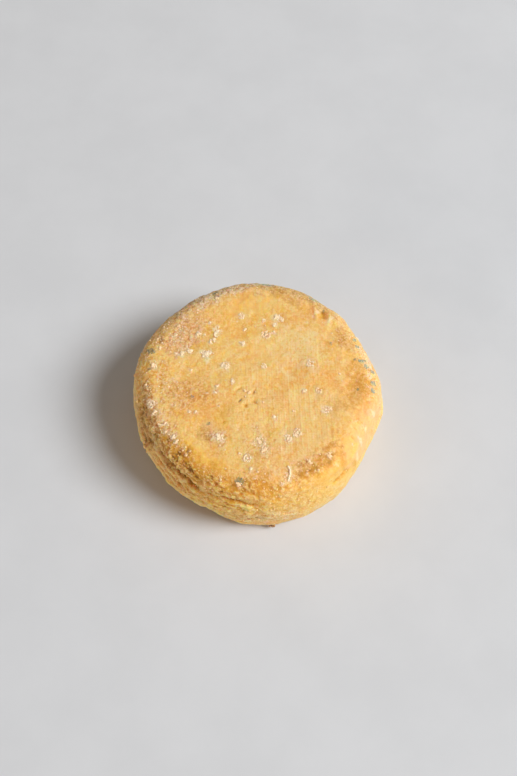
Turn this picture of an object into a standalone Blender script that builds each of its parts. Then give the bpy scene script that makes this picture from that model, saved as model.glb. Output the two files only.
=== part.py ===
"""A small aged goat cheese: one low round of soft-ripened curd, lying on its base.

Metres, +Z up.  The origin is the middle of the base and the front faces -Y.
A place on the rind is given by its azimuth, in degrees anticlockwise from +X as
seen from above, and by its reach: the way along the skin from the crown, over
the shoulder and down the wall.
"""

import math
import random
from typing import NamedTuple

import bmesh
import bpy
import numpy as np
from mathutils import Vector, noise

MM = 0.001

# The smooth round, before it dried
BODY_RADIUS = 31.0 * MM
BODY_HEIGHT = 21.0 * MM
SHOULDER_RADIUS = 5.0 * MM
FOOT_RADIUS = 3.5 * MM
BELLY = 0.8 * MM

# Where the base ends and the wall is free to be uneven
FOOT_FADE = (0.2 * MM, 3.5 * MM)
# Where the upper face ends and flats in the outline begin to show
OUTLINE_FADE = (14.0 * MM, 27.0 * MM)

# Slow swelling of the whole rind: pitch and height of each layer
SWELLS = ((15.0 * MM, 0.35 * MM), (6.0 * MM, 0.22 * MM), (2.8 * MM, 0.1 * MM))

# Curd that crumbles on the front wall
CRUMB_PITCH = 2.3 * MM
CRUMB_HEIGHT = 0.75 * MM
CRUMB_AZIMUTHS = (-152.0, -138.0, -62.0, -38.0)
CRUMB_REACHES = (26.0 * MM, 29.5 * MM, 44.0 * MM, 47.0 * MM)
CRUMB_SHARE_ELSEWHERE = 0.3

FINE_LEVEL = 7
BODY_FACES = 7200
FINE_FACES = 20 * 4 ** (FINE_LEVEL - 1)
MERIDIAN_STEP = 0.2 * MM

# Warts of mould: a small one is one lump, and a wide one is a ring of lumps
LUMP_WIDTH = 1.5 * MM
LUMP_SINK = 0.1
LUMP_SQUASH = 0.6
LUMP_UNEVENNESS = (0.86, 1.14)
WIDE_WART = 1.7 * MM
FAR_SIDE_WARTS = 16
FAR_SIDE_SEED = 41

RIND_COLOUR = (0.78, 0.46, 0.16, 1.0)
RIND_ROUGHNESS = 0.72


class Flat(NamedTuple):
    """A stretch of the outline that is let in, or out, over some degrees."""

    azimuth: float
    spread: float
    push: float


class Furrow(NamedTuple):
    """A soft groove along a path of (azimuth, reach) places, with a raised lower lip."""

    path: tuple
    width: float
    depth: float
    lip: float = 0.0


class Pit(NamedTuple):
    """A hole pressed or dried into the rind, longer down the meridian than across."""

    azimuth: float
    reach: float
    width: float
    length: float
    depth: float
    rim: float = 0.0


class Wart(NamedTuple):
    """A tuft of mould that stands on the rind."""

    azimuth: float
    reach: float
    width: float


FLATS = (
    Flat(28.0, 13.0, -1.4 * MM),
    Flat(56.0, 24.0, -0.8 * MM),
    Flat(128.0, 18.0, -0.4 * MM),
    Flat(165.0, 15.0, 0.3 * MM),
    Flat(188.0, 8.0, -0.5 * MM),
    Flat(222.0, 20.0, -1.3 * MM),
    Flat(305.0, 20.0, -0.5 * MM),
    Flat(335.0, 14.0, -1.1 * MM),
)

FURROWS = (
    # The crack that opens along the front wall, and the two folds under it
    Furrow(((-139, 28.4), (-126, 30.6), (-116, 32.8), (-104, 34.4), (-92, 35.2)), 0.75, 1.3, 0.5),
    Furrow(((-133, 35.6), (-120, 38.4), (-108, 39.8), (-94, 38.8), (-78, 41.0)), 0.7, 0.75, 0.3),
    Furrow(((-146, 33.0), (-133, 34.2), (-121, 36.0)), 0.7, 0.7, 0.25),
    # The fold where the upper face meets the front shoulder
    Furrow(((-74, 25.2), (-66, 25.6), (-57, 26.3), (-45, 27.4)), 1.3, 1.0, 0.3),
    # The trough pressed into the right of the upper face
    Furrow(((0, 25.6), (-15, 21.4), (-33, 17.6)), 2.0, 0.6),
    # The hollow under the left shoulder
    Furrow(((-170, 29.6), (-159, 31.6), (-147, 32.4)), 2.1, 1.2, 0.3),
    # Creases on the unseen walls
    Furrow(((28, 33.0), (44, 35.0), (58, 34.4)), 0.8, 0.7, 0.25),
    Furrow(((96, 36.0), (112, 37.6), (131, 36.8)), 0.8, 0.8, 0.3),
    Furrow(((-20, 36.4), (-8, 37.8), (6, 37.0)), 0.7, 0.5, 0.2),
)

PITS = (
    Pit(46.5, 24.7, 1.6, 2.9, 1.1, 0.35),
    Pit(-125.0, 29.3, 2.2, 2.0, 1.1),
    Pit(-117.0, 31.0, 1.6, 1.4, 0.8),
    Pit(-134.0, 5.9, 1.3, 1.5, 0.5, 0.15),
    Pit(-112.0, 6.8, 1.2, 1.4, 0.55, 0.15),
    Pit(-98.0, 5.4, 1.1, 1.3, 0.45, 0.15),
    Pit(-37.0, 26.2, 0.9, 2.2, 0.35),
    Pit(-33.0, 27.0, 0.9, 1.9, 0.3),
    Pit(-51.0, 34.4, 1.4, 2.8, 0.6),
)

WARTS = (
    Wart(114, 25.9, 1.5), Wart(103, 18.4, 1.7), Wart(103, 14.5, 1.1), Wart(111, 10.7, 1.3),
    Wart(85, 17.1, 1.3), Wart(76, 18.6, 2.0), Wart(72, 18.2, 1.8), Wart(75, 16.2, 1.3),
    Wart(81, 12.8, 2.5), Wart(74, 14.1, 1.1), Wart(134, 15.7, 1.5), Wart(128, 17.6, 1.4),
    Wart(138, 19.6, 1.2), Wart(150, 14.5, 2.8), Wart(154, 8.8, 2.3), Wart(-172, 6.2, 1.2),
    Wart(-168, 10.2, 1.2), Wart(-160, 10.9, 1.2), Wart(68, 3.8, 1.6), Wart(18, 13.2, 2.0),
    Wart(-17, 11.5, 1.1), Wart(-13, 14.9, 1.8), Wart(-28, 18.4, 2.2), Wart(-70, 11.1, 1.3),
    Wart(-121, 18.4, 2.8), Wart(-58, 17.4, 2.5), Wart(-67, 17.6, 2.1), Wart(-97, 21.4, 2.1),
    Wart(-89, 17.2, 2.8), Wart(-86, 19.2, 2.0), Wart(-74, 26.6, 1.6), Wart(-50, 27.3, 1.9),
    Wart(-62, 25.4, 1.4), Wart(-165, 26.8, 2.2), Wart(-160, 26.4, 1.4), Wart(-142, 26.6, 1.9),
    Wart(159, 20.1, 1.2), Wart(154, 18.6, 1.6), Wart(-94, 24.3, 1.1), Wart(-99, 27.5, 1.6),
)


class Meridian(NamedTuple):
    """Half the outline of the smooth round, sampled from the crown to the base."""

    reach: np.ndarray
    radius: np.ndarray
    height: np.ndarray
    normal_out: np.ndarray
    normal_up: np.ndarray
    skin_share: np.ndarray


def steps(length):
    """How many samples a stretch of the meridian needs."""
    return max(2, math.ceil(length / MERIDIAN_STEP))


def make_meridian():
    """Lay out crown, shoulder, bellied wall, foot and base as one sampled line."""
    wall = BODY_RADIUS - BELLY
    crown = [(x, BODY_HEIGHT) for x in np.linspace(0.0, wall - SHOULDER_RADIUS, steps(wall))]
    quarter = np.linspace(0.0, math.pi / 2, steps(SHOULDER_RADIUS * math.pi / 2))
    shoulder = [
        (
            wall - SHOULDER_RADIUS * (1 - math.sin(turn)),
            BODY_HEIGHT - SHOULDER_RADIUS * (1 - math.cos(turn)),
        )
        for turn in quarter[1:]
    ]
    drop = BODY_HEIGHT - SHOULDER_RADIUS - FOOT_RADIUS
    side = [
        (wall + BELLY * math.sin(math.pi * share), BODY_HEIGHT - SHOULDER_RADIUS - drop * share)
        for share in np.linspace(0.0, 1.0, steps(drop))[1:]
    ]
    foot = [
        (wall - FOOT_RADIUS * (1 - math.cos(turn)), FOOT_RADIUS * (1 - math.sin(turn)))
        for turn in quarter[1:]
    ]
    base = [(x, 0.0) for x in np.linspace(wall - FOOT_RADIUS, 0.0, steps(wall))[1:]]
    radius, height = np.array(crown + shoulder + side + foot + base).T
    run = np.hypot(np.diff(radius), np.diff(height))
    reach = np.concatenate(([0.0], np.cumsum(run)))
    out = -np.gradient(height, reach)
    up = np.gradient(radius, reach)
    size = np.hypot(out, up)
    ring = run * (radius[1:] + radius[:-1]) / 2
    skin = np.concatenate(([0.0], np.cumsum(ring)))
    return Meridian(reach, radius, height, out / size, up / size, skin / skin[-1])


MERIDIAN = make_meridian()


def ramp(low, high, value):
    """Zero below low and one above high, with a soft slope between."""
    share = np.clip((value - low) / (high - low), 0.0, 1.0)
    return share * share * (3.0 - 2.0 * share)


def turn_from(azimuth, middle):
    """The signed angle in degrees from one azimuth to others, the short way round."""
    return (azimuth - middle + 180.0) % 360.0 - 180.0


def smooth_round(azimuth, reach):
    """Points and outward normals of the smooth round at places on its skin."""
    angle = np.radians(azimuth)
    radius = np.interp(reach, MERIDIAN.reach, MERIDIAN.radius)
    height = np.interp(reach, MERIDIAN.reach, MERIDIAN.height)
    out = np.interp(reach, MERIDIAN.reach, MERIDIAN.normal_out)
    up = np.interp(reach, MERIDIAN.reach, MERIDIAN.normal_up)
    points = np.column_stack((radius * np.cos(angle), radius * np.sin(angle), height))
    normals = np.column_stack((out * np.cos(angle), out * np.sin(angle), up))
    return points, normals


def swell(points):
    """The slow unevenness of the rind."""
    total = np.zeros(len(points))
    for layer, (pitch, height) in enumerate(SWELLS):
        shift = Vector((layer * 7.3, layer * 3.1, layer * 5.7))
        total += [height * noise.noise(Vector(point) / pitch + shift) for point in points]
    return total


def crumbs(points, azimuth, reach):
    """Rounded lumps of curd on the wall, tall where its front crumbles."""
    left, left_full, right_full, right = CRUMB_AZIMUTHS
    top, top_full, bottom_full, bottom = CRUMB_REACHES
    across = ramp(left, left_full, azimuth) - ramp(right_full, right, azimuth)
    down = ramp(top, top_full, reach) - ramp(bottom_full, bottom, reach)
    share = down * (CRUMB_SHARE_ELSEWHERE + (1.0 - CRUMB_SHARE_ELSEWHERE) * across)
    total = np.zeros(len(points))
    for index in np.flatnonzero(share > 0.0):
        near = noise.voronoi(Vector(points[index]) / CRUMB_PITCH)[0][0]
        total[index] = share[index] * CRUMB_HEIGHT * (0.45 - near)
    return total


def furrow_relief(furrow, points, reach):
    """Depth of one furrow: full along its path and fading out at both ends."""
    width = furrow.width * MM
    knots = np.linspace(0.0, 1.0, len(furrow.path))
    share = np.linspace(0.0, 1.0, 8 * len(furrow.path))
    turns, reaches = np.array(furrow.path, dtype=float).T
    line_reach = np.interp(share, knots, reaches) * MM
    line, _ = smooth_round(np.interp(share, knots, turns), line_reach)
    gap = np.full(len(points), np.inf)
    along = np.zeros(len(points))
    below = np.zeros(len(points))
    for position, middle, middle_reach in zip(share, line, line_reach):
        distance = np.linalg.norm(points - middle, axis=1)
        closer = distance < gap
        gap[closer] = distance[closer]
        along[closer] = position
        below[closer] = reach[closer] - middle_reach
    ends = ramp(0.0, 0.18, along) * ramp(0.0, 0.18, 1.0 - along)
    groove = -furrow.depth * MM * np.exp(-((gap / width) ** 2))
    lip_gap = (gap - 1.8 * width) / width
    lip = furrow.lip * MM * np.exp(-(lip_gap**2)) * ramp(0.0, width, below)
    return (groove + lip) * ends


def pit_relief(pit, points, azimuth, reach):
    """Depth of one pit, with its raised rim."""
    middle, _ = smooth_round(np.array([pit.azimuth]), np.array([pit.reach * MM]))
    down = (reach - pit.reach * MM) / (pit.length * MM / 2)
    span = max(math.hypot(middle[0][0], middle[0][1]), MM)
    across = np.radians(turn_from(azimuth, pit.azimuth)) * span / (pit.width * MM / 2)
    near = np.linalg.norm(points - middle, axis=1) < 4 * pit.length * MM
    spread = np.hypot(across, down)
    hole = -pit.depth * MM * np.exp(-(spread**2))
    rim = pit.rim * MM * np.exp(-(((spread - 1.7) / 0.6) ** 2))
    return np.where(near, hole + rim, 0.0)


def rind(azimuth, reach):
    """Points on the finished rind, and the normals of the smooth round under them."""
    points, normals = smooth_round(azimuth, reach)
    relief = swell(points) + crumbs(points, azimuth, reach)
    for furrow in FURROWS:
        relief += furrow_relief(furrow, points, reach)
    for pit in PITS:
        relief += pit_relief(pit, points, azimuth, reach)
    free = ramp(*FOOT_FADE, points[:, 2])
    push = np.zeros(len(points))
    for flat in FLATS:
        push += flat.push * np.exp(-((turn_from(azimuth, flat.azimuth) / flat.spread) ** 2))
    span = np.hypot(points[:, 0], points[:, 1])
    outward = points[:, :2] / np.maximum(span, MM)[:, None]
    points[:, :2] += outward * (push * ramp(*OUTLINE_FADE, span))[:, None]
    points += normals * (relief * free)[:, None]
    return points, normals


def make_body(collection):
    """Lay a fine sphere over the rind and thin its faces where the rind is even."""
    form = bmesh.new()
    bmesh.ops.create_icosphere(form, subdivisions=FINE_LEVEL, radius=1.0)
    ball = np.array([vertex.co.normalized() for vertex in form.verts])
    azimuth = np.degrees(np.arctan2(ball[:, 1], ball[:, 0]))
    share = (1.0 - ball[:, 2]) / 2.0
    reach = np.interp(share, MERIDIAN.skin_share, MERIDIAN.reach)
    points, _ = rind(azimuth, reach)
    for vertex, point in zip(form.verts, points):
        vertex.co = point
    mesh = bpy.data.meshes.new("cheese")
    form.to_mesh(mesh)
    form.free()
    body = bpy.data.objects.new("cheese", mesh)
    collection.objects.link(body)
    thin = body.modifiers.new("thin faces", "DECIMATE")
    thin.ratio = BODY_FACES / FINE_FACES
    return body


def far_side_warts(draw):
    """Scatter more warts over the back and the walls."""
    return [
        Wart(draw.uniform(-10.0, 215.0), draw.uniform(27.0, 40.0), draw.uniform(1.1, 2.2))
        for _ in range(FAR_SIDE_WARTS)
    ]


def lump_places(wart):
    """Middle and width of each lump of a wart, as (azimuth, reach, width)."""
    if wart.width * MM < WIDE_WART:
        return [(wart.azimuth, wart.reach, wart.width)]
    count = round(2.0 * wart.width * MM / LUMP_WIDTH)
    width = 2.0 * wart.width / count + 0.3
    ring = (wart.width - width) / 2
    degrees_per_mm = math.degrees(1.0 / min(max(wart.reach, 1.0), BODY_RADIUS / MM))
    turns = [math.tau * index / count for index in range(count)]
    return [
        (
            wart.azimuth + ring * math.cos(turn) * degrees_per_mm,
            wart.reach + ring * math.sin(turn),
            width,
        )
        for turn in turns
    ]


def make_lump(azimuth, reach, width, collection, draw):
    """A squashed, uneven ball of mould, standing square on the rind."""
    middle, normal = rind(np.array([float(azimuth)]), np.array([reach * MM]))
    upright = Vector((0.0, 0.0, 1.0)).rotation_difference(Vector(normal[0]))
    radius = width * MM / 2
    form = bmesh.new()
    bmesh.ops.create_icosphere(form, subdivisions=1, radius=radius)
    for vertex in form.verts:
        vertex.co *= draw.uniform(*LUMP_UNEVENNESS)
        vertex.co.z = vertex.co.z * LUMP_SQUASH + radius * LUMP_SINK
        vertex.co = upright @ vertex.co + Vector(middle[0])
    mesh = bpy.data.meshes.new("lump")
    form.to_mesh(mesh)
    form.free()
    collection.objects.link(bpy.data.objects.new("lump", mesh))


def apply_modifiers(body):
    """Replace an object's mesh by what its modifiers make of it."""
    graph = bpy.context.evaluated_depsgraph_get()
    mesh = bpy.data.meshes.new_from_object(body.evaluated_get(graph))
    body.modifiers.clear()
    old = body.data
    body.data = mesh
    bpy.data.meshes.remove(old)
    mesh.name = body.name


def fuse_warts(body, collection):
    """Join every lump to the rind and remove the separate lumps."""
    fuse = body.modifiers.new("fuse warts", "BOOLEAN")
    fuse.operation = "UNION"
    fuse.operand_type = "COLLECTION"
    fuse.collection = collection
    fuse.solver = "EXACT"
    apply_modifiers(body)
    for lump in list(collection.objects):
        bpy.data.objects.remove(lump, do_unlink=True)
    bpy.data.collections.remove(collection)


def centre_on_base(body):
    """Slide the mesh so that the middle of its box stands over the origin."""
    corners = np.array([vertex.co for vertex in body.data.vertices])
    middle = (corners.min(axis=0) + corners.max(axis=0)) / 2
    for vertex in body.data.vertices:
        vertex.co.x -= middle[0]
        vertex.co.y -= middle[1]


def rind_material():
    """Dry, matt, butter-brown rind."""
    material = bpy.data.materials.new("rind")
    material.use_nodes = True
    shader = material.node_tree.nodes["Principled BSDF"]
    shader.inputs["Base Color"].default_value = RIND_COLOUR
    shader.inputs["Roughness"].default_value = RIND_ROUGHNESS
    shader.inputs["Metallic"].default_value = 0.0
    return material


def new_collection(name):
    """A collection linked to the scene."""
    collection = bpy.data.collections.new(name)
    bpy.context.scene.collection.children.link(collection)
    return collection


def main():
    """Build the round, fuse its warts and give it its rind."""
    for old in list(bpy.data.objects):
        bpy.data.objects.remove(old, do_unlink=True)
    body = make_body(new_collection("aged_goat_cheese"))
    apply_modifiers(body)
    draw = random.Random(FAR_SIDE_SEED)
    lumps = new_collection("lumps")
    for wart in list(WARTS) + far_side_warts(draw):
        for azimuth, reach, width in lump_places(wart):
            make_lump(azimuth, reach, width, lumps, draw)
    fuse_warts(body, lumps)
    centre_on_base(body)
    body.data.materials.clear()
    body.data.materials.append(rind_material())
    body.data.shade_smooth()


main()
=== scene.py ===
"""Finish of a small aged goat cheese: its rind, its moulds and the light it lies in.

Lengths that a table gives are millimetres and are turned into metres by MM.  A place
on the rind is given by its azimuth, in degrees anticlockwise from +X as seen from
above, and by its reach: the way along the skin from the crown, over the shoulder and
down the wall.  The front of the round faces -Y.
"""

import logging
import math
import random
from dataclasses import dataclass, field
from enum import Enum
from functools import cached_property

import bmesh
import bpy
import numpy as np
from mathutils import Matrix, Vector, noise


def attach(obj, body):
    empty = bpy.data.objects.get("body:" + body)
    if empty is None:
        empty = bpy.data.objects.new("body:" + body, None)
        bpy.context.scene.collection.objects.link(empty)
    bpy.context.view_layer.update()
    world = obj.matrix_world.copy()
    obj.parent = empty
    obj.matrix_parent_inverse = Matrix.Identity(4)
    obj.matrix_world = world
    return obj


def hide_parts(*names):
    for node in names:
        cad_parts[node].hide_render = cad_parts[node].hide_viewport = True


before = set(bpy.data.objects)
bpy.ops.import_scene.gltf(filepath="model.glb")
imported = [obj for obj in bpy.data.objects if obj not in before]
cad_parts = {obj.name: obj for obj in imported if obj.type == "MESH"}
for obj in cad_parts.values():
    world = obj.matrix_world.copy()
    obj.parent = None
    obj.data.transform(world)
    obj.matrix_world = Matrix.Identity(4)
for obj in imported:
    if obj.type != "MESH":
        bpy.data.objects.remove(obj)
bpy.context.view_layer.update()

MM = 0.001
BODY = "root"
NODE = "cheese"
LOG = logging.getLogger("goat_cheese")

Array = np.ndarray
Object = bpy.types.Object
Socket = bpy.types.NodeSocket
Pair = tuple[float, float]
Triple = tuple[float, float, float]
Paint = tuple[float, float, float, float]
Value = Socket | float | Triple | Paint
# Where a slope starts and ends, and the results there when they aren't 0 and 1
Slope = tuple[float, ...]
# A noise's pitch in millimetres, its detail, and its shift in metres
Noise = tuple[float, ...]


def table(kind: type, *rows: tuple) -> tuple:
    """Make one item of a kind from each row."""
    return tuple(kind(*row) for row in rows)


def tint(*screen: int) -> Paint:
    """Turn red, green and blue as a screen shows them, 0 to 255, into linear light."""
    return (*(((value / 255.0 + 0.055) / 1.055) ** 2.4 for value in screen), 1.0)


def ramp(low: float, high: float, value: Array) -> Array:
    """Ease from 0 where a value is below low to 1 where it is above high."""
    share = np.clip((value - low) / (high - low), 0.0, 1.0)
    return share * share * (3.0 - 2.0 * share)


def turn_from(azimuth: Array, middle: float) -> Array:
    """Measure signed degrees from a middle azimuth, the short way round."""
    return (azimuth - middle + 180.0) % 360.0 - 180.0


# The way in which a shifted pattern moves
SHIFT_WAY = np.array([1.0, 2.7, -1.3])


def by_pitch(points: Array, pitch: float | Triple, shift: float) -> list[list[float]]:
    """Measure places by a pitch in millimetres, and shift them so that layers differ."""
    return (points / (np.array(pitch) * MM) + SHIFT_WAY * shift).tolist()


def waves(points: Array, pitch: float | Triple, shift: float) -> Array:
    """Read smooth noise from about -1 to 1, a pitch in millimetres from wave to wave."""
    return np.array([noise.noise(place) for place in by_pitch(points, pitch, shift)])


def cells(points: Array, pitch: float | Triple, shift: float) -> Array:
    """Read how far the nearest cell's middle is: 0 there, about 0.8 at the cell's edge."""
    return np.array([noise.voronoi(place)[0][0] for place in by_pitch(points, pitch, shift)])


def throw(draw: random.Random, count: int, low: float = 0.0, high: float = 1.0) -> Array:
    """Draw some numbers between two limits."""
    return np.array([draw.uniform(low, high) for _ in range(count)])


def mesh_of(form: bmesh.types.BMesh, name: str) -> bpy.types.Mesh:
    """Turn a form into a mesh of that name, and free the form.

    Args:
        form: The form.
        name: The mesh's name.

    Returns:
        The mesh.
    """
    mesh = bpy.data.meshes.new(name)
    form.to_mesh(mesh)
    form.free()
    return mesh


def set_out(name: str, data: bpy.types.ID) -> Object:
    """Put a new object in the scene.

    Args:
        name: Its name.
        data: Its mesh, lamp or camera.

    Returns:
        The object, at the origin, unturned and unscaled.
    """
    piece = bpy.data.objects.new(name, data)
    bpy.context.scene.collection.objects.link(piece)
    return piece


# Pitch and shift of the noise that breaks edges, and the fine one's share
COARSE_RAG = (2.4, 0.7)
FINE_RAG = (0.9, 3.7)
FINE_RAG_SHARE = 0.7


@dataclass(frozen=True)
class Site:
    """Many places on the smooth round at once."""

    azimuth: Array
    reach: Array
    points: Array
    normals: Array

    @cached_property
    def rag(self) -> Array:
        """Read the noise that breaks the edges of patches and grooves."""
        return waves(self.points, *COARSE_RAG) + FINE_RAG_SHARE * waves(self.points, *FINE_RAG)

    def only(self, chosen: Array) -> "Site":
        """Keep the chosen places alone."""
        return Site(self.azimuth[chosen], self.reach[chosen], self.points[chosen], self.normals[chosen])


@dataclass(frozen=True)
class SmoothRound:
    """The round before it dried: crown, shoulder, bellied wall, foot and base."""

    radius: float = 31.0 * MM
    height: float = 21.0 * MM
    shoulder: float = 5.0 * MM
    foot: float = 3.5 * MM
    belly: float = 0.8 * MM
    step: float = 0.2 * MM
    base_detail: float = 0.22
    line: dict[str, Array] = field(init=False, compare=False, default_factory=dict)

    def __post_init__(self) -> None:
        """Sample half the outline once, for every later look-up."""
        radius, height = self._outline().T
        run = np.hypot(np.diff(radius), np.diff(height))
        reach = np.concatenate(([0.0], np.cumsum(run)))
        out = -np.gradient(height, reach)
        up = np.gradient(radius, reach)
        size = np.hypot(out, up)
        ring = run * (radius[1:] + radius[:-1]) / 2
        ring = ring * np.where(height[1:] > 0.0, 1.0, self.base_detail)
        skin = np.concatenate(([0.0], np.cumsum(ring)))
        self.line.update(reach=reach, radius=radius, height=height)
        self.line.update(out=out / size, up=up / size, share=skin / skin[-1])

    def _steps(self, length: float) -> int:
        """Count the samples that a stretch of the outline needs."""
        return max(2, math.ceil(length / self.step))

    def _outline(self) -> Array:
        """Lay out the half outline.

        Returns:
            Rows of radius and height, from the crown to the middle of the base.
        """
        wall = self.radius - self.belly
        quarter = np.linspace(0.0, math.pi / 2, self._steps(self.shoulder * math.pi / 2))[1:]
        side, rise = 1.0 - np.sin(quarter), 1.0 - np.cos(quarter)
        drop = self.height - self.shoulder - self.foot
        down = np.linspace(0.0, 1.0, self._steps(drop))[1:]
        crown = np.linspace(0.0, wall - self.shoulder, self._steps(wall))
        base = np.linspace(wall - self.foot, 0.0, self._steps(wall))[1:]
        stretches = (
            (crown, np.full(len(crown), self.height)),
            (wall - self.shoulder * side, self.height - self.shoulder * rise),
            (wall + self.belly * np.sin(math.pi * down), self.height - self.shoulder - drop * down),
            (wall - self.foot * rise, self.foot * side),
            (base, np.zeros(len(base))),
        )
        return np.concatenate([np.column_stack(stretch) for stretch in stretches])

    def at(self, azimuth: Array, reach: Array) -> Site:
        """Find places on the smooth round.

        Args:
            azimuth: Azimuths in degrees.
            reach: Ways along the skin in metres.

        Returns:
            The places, with their points and outward normals.
        """
        azimuth = np.asarray(azimuth, dtype=float)
        reach = np.asarray(reach, dtype=float)
        angle = np.radians(azimuth)
        names = ("radius", "height", "out", "up")
        radius, height, out, up = (np.interp(reach, self.line["reach"], self.line[name]) for name in names)
        points = np.column_stack((radius * np.cos(angle), radius * np.sin(angle), height))
        normals = np.column_stack((out * np.cos(angle), out * np.sin(angle), up))
        return Site(azimuth, reach, points, normals)

    def point(self, azimuth: float, reach: float) -> Array:
        """Find a single point, from a reach in millimetres."""
        return self.at(np.array([azimuth]), np.array([reach * MM])).points[0]

    def under_ball(self, ball: Array) -> Site:
        """Carry the points of a unit ball onto the round, even areas to even areas.

        Args:
            ball: Unit vectors.

        Returns:
            The matching places.
        """
        azimuth = np.degrees(np.arctan2(ball[:, 1], ball[:, 0]))
        share = (1.0 - ball[:, 2]) / 2.0
        return self.at(azimuth, np.interp(share, self.line["share"], self.line["reach"]))


ROUND = SmoothRound()
# Where the flat upper face gives way to the shoulder
UPPER_FACE_REACH = 20.0
# A patch fades between these shares of its half widths
PATCH_EDGE = (0.55, 1.25)


@dataclass(frozen=True)
class Patch:
    """A ragged patch on the rind, with half widths across and down the meridian."""

    azimuth: float
    reach: float
    across: float
    down: float
    strength: float = 1.0
    ragged: float = 0.35

    def cover(self, site: Site, clean: bool) -> Array:
        """Measure how strongly the patch covers each place.

        Args:
            site: The places.
            clean: Whether the patch's edge stays unbroken.

        Returns:
            Shares from 0 to the patch's strength.
        """
        middle = ROUND.point(self.azimuth, self.reach)
        if self.reach < UPPER_FACE_REACH:
            angle = math.radians(self.azimuth)
            flat = site.points[:, :2] - middle[:2]
            across = flat @ np.array([-math.sin(angle), math.cos(angle)])
            down = flat @ np.array([math.cos(angle), math.sin(angle)])
        else:
            radius = math.hypot(middle[0], middle[1])
            across = np.radians(turn_from(site.azimuth, self.azimuth)) * radius
            down = site.reach - self.reach * MM
        spread = np.hypot(across / (self.across * MM), down / (self.down * MM))
        if not clean:
            spread = spread + self.ragged * site.rag
        return self.strength * (1.0 - ramp(*PATCH_EDGE, spread))


def cover(patches: tuple[Patch, ...], site: Site, clean: bool = False) -> Array:
    """Combine patches, any of which may overlap.

    Args:
        patches: The patches.
        site: The places.
        clean: Whether their edges stay unbroken.

    Returns:
        The strongest cover at each place.
    """
    total = np.zeros(len(site.reach))
    for patch in patches:
        total = np.maximum(total, patch.cover(site, clean))
    return total


@dataclass(frozen=True)
class Flat:
    """A stretch of the outline that is let in, or out, over some degrees."""

    azimuth: float
    spread: float
    push: float


def push_at(flats: tuple[Flat, ...], azimuth: Array) -> Array:
    """Add up how far some flats push the outline.

    Args:
        flats: The flats.
        azimuth: Azimuths in degrees.

    Returns:
        Metres, below zero where the outline is let in.
    """
    total = np.zeros(len(azimuth))
    for flat in flats:
        total += flat.push * MM * np.exp(-((turn_from(azimuth, flat.azimuth) / flat.spread) ** 2))
    return total


# A furrow's samples for a millimetre, the span that its turns are measured at, how many
# widths its slopes reach and its lip lies off, and the share over which an end runs out
STEPS_PER_MM = 5
FURROW_SPAN = 31.0
SLOPE_REACH = 5.0
LIP_OFFSET = 1.8
RUN_OUT = 0.18


@dataclass(frozen=True)
class Furrow:
    """A soft groove along a path of (azimuth, reach) places, with a raised lower lip."""

    path: tuple[Pair, ...]
    width: float
    depth: float
    lip: float = 0.0
    ragged: float = 0.0

    def relief(self, site: Site) -> Array:
        """Work out the groove's relief.

        Args:
            site: The places.

        Returns:
            Heights in metres, below zero in the groove.
        """
        knots = np.linspace(0.0, 1.0, len(self.path))
        turns, reaches = np.array(self.path, dtype=float).T
        run = np.diff(np.radians(turns) * min(reaches.max(), FURROW_SPAN))
        length = np.hypot(run, np.diff(reaches)).sum()
        share = np.linspace(0.0, 1.0, math.ceil(length * STEPS_PER_MM))
        line = ROUND.at(np.interp(share, knots, turns), np.interp(share, knots, reaches) * MM)
        margin = SLOPE_REACH * self.width
        half_turn = np.ptp(turns) / 2 + math.degrees(margin / reaches.min())
        near = np.abs(turn_from(site.azimuth, (turns.min() + turns.max()) / 2)) < half_turn
        near &= site.reach > (reaches.min() - margin) * MM
        near &= site.reach < (reaches.max() + margin) * MM
        part = site.only(near)
        gap = np.full(len(part.reach), np.inf)
        along = np.zeros(len(part.reach))
        below = np.zeros(len(part.reach))
        for position, middle, middle_reach in zip(share, line.points, line.reach):
            distance = np.linalg.norm(part.points - middle, axis=1)
            closer = distance < gap
            gap[closer] = distance[closer]
            along[closer] = position
            below[closer] = part.reach[closer] - middle_reach
        width = self.width * MM
        gap = np.maximum(gap + self.ragged * width * site.rag[near], 0.0)
        ends = ramp(0.0, RUN_OUT, along) * ramp(0.0, RUN_OUT, 1.0 - along)
        groove = -self.depth * np.exp(-((gap / width) ** 2))
        lip = self.lip * np.exp(-(((gap - LIP_OFFSET * width) / width) ** 2)) * ramp(0.0, width, below)
        total = np.zeros(len(site.reach))
        total[near] = (groove + lip) * ends * MM
        return total


# How many lengths from its middle a pit is worked out
PIT_REACH = 4


@dataclass(frozen=True)
class Pit:
    """A hole pressed or dried into the rind, longer down the meridian than across."""

    azimuth: float
    reach: float
    width: float
    length: float
    depth: float

    def relief(self, site: Site) -> Array:
        """Work out the pit's relief.

        Args:
            site: The places.

        Returns:
            Heights in metres, below zero in the pit.
        """
        middle = ROUND.point(self.azimuth, self.reach)
        span = max(math.hypot(middle[0], middle[1]), MM)
        down = (site.reach - self.reach * MM) / (self.length * MM / 2)
        turn = np.radians(turn_from(site.azimuth, self.azimuth))
        across = turn * span / (self.width * MM / 2)
        near = np.linalg.norm(site.points - middle, axis=1) < PIT_REACH * self.length * MM
        return np.where(near, -self.depth * np.exp(-(np.hypot(across, down) ** 2)) * MM, 0.0)


class Shape(Enum):
    """How a layer of roughness stands on the rind."""

    SWELL = "smooth waves"
    LUMP = "rounded cells"
    CREASE = "thin wandering grooves"


# The level of a lump's foot, a crease's half width and how sharp it is, and the least
# share of a layer that is worked out
LUMP_FOOT = 0.45
CREASE_HALF = 0.11
CREASE_POWER = 1.5
LEAST_SHARE = 0.01


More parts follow.
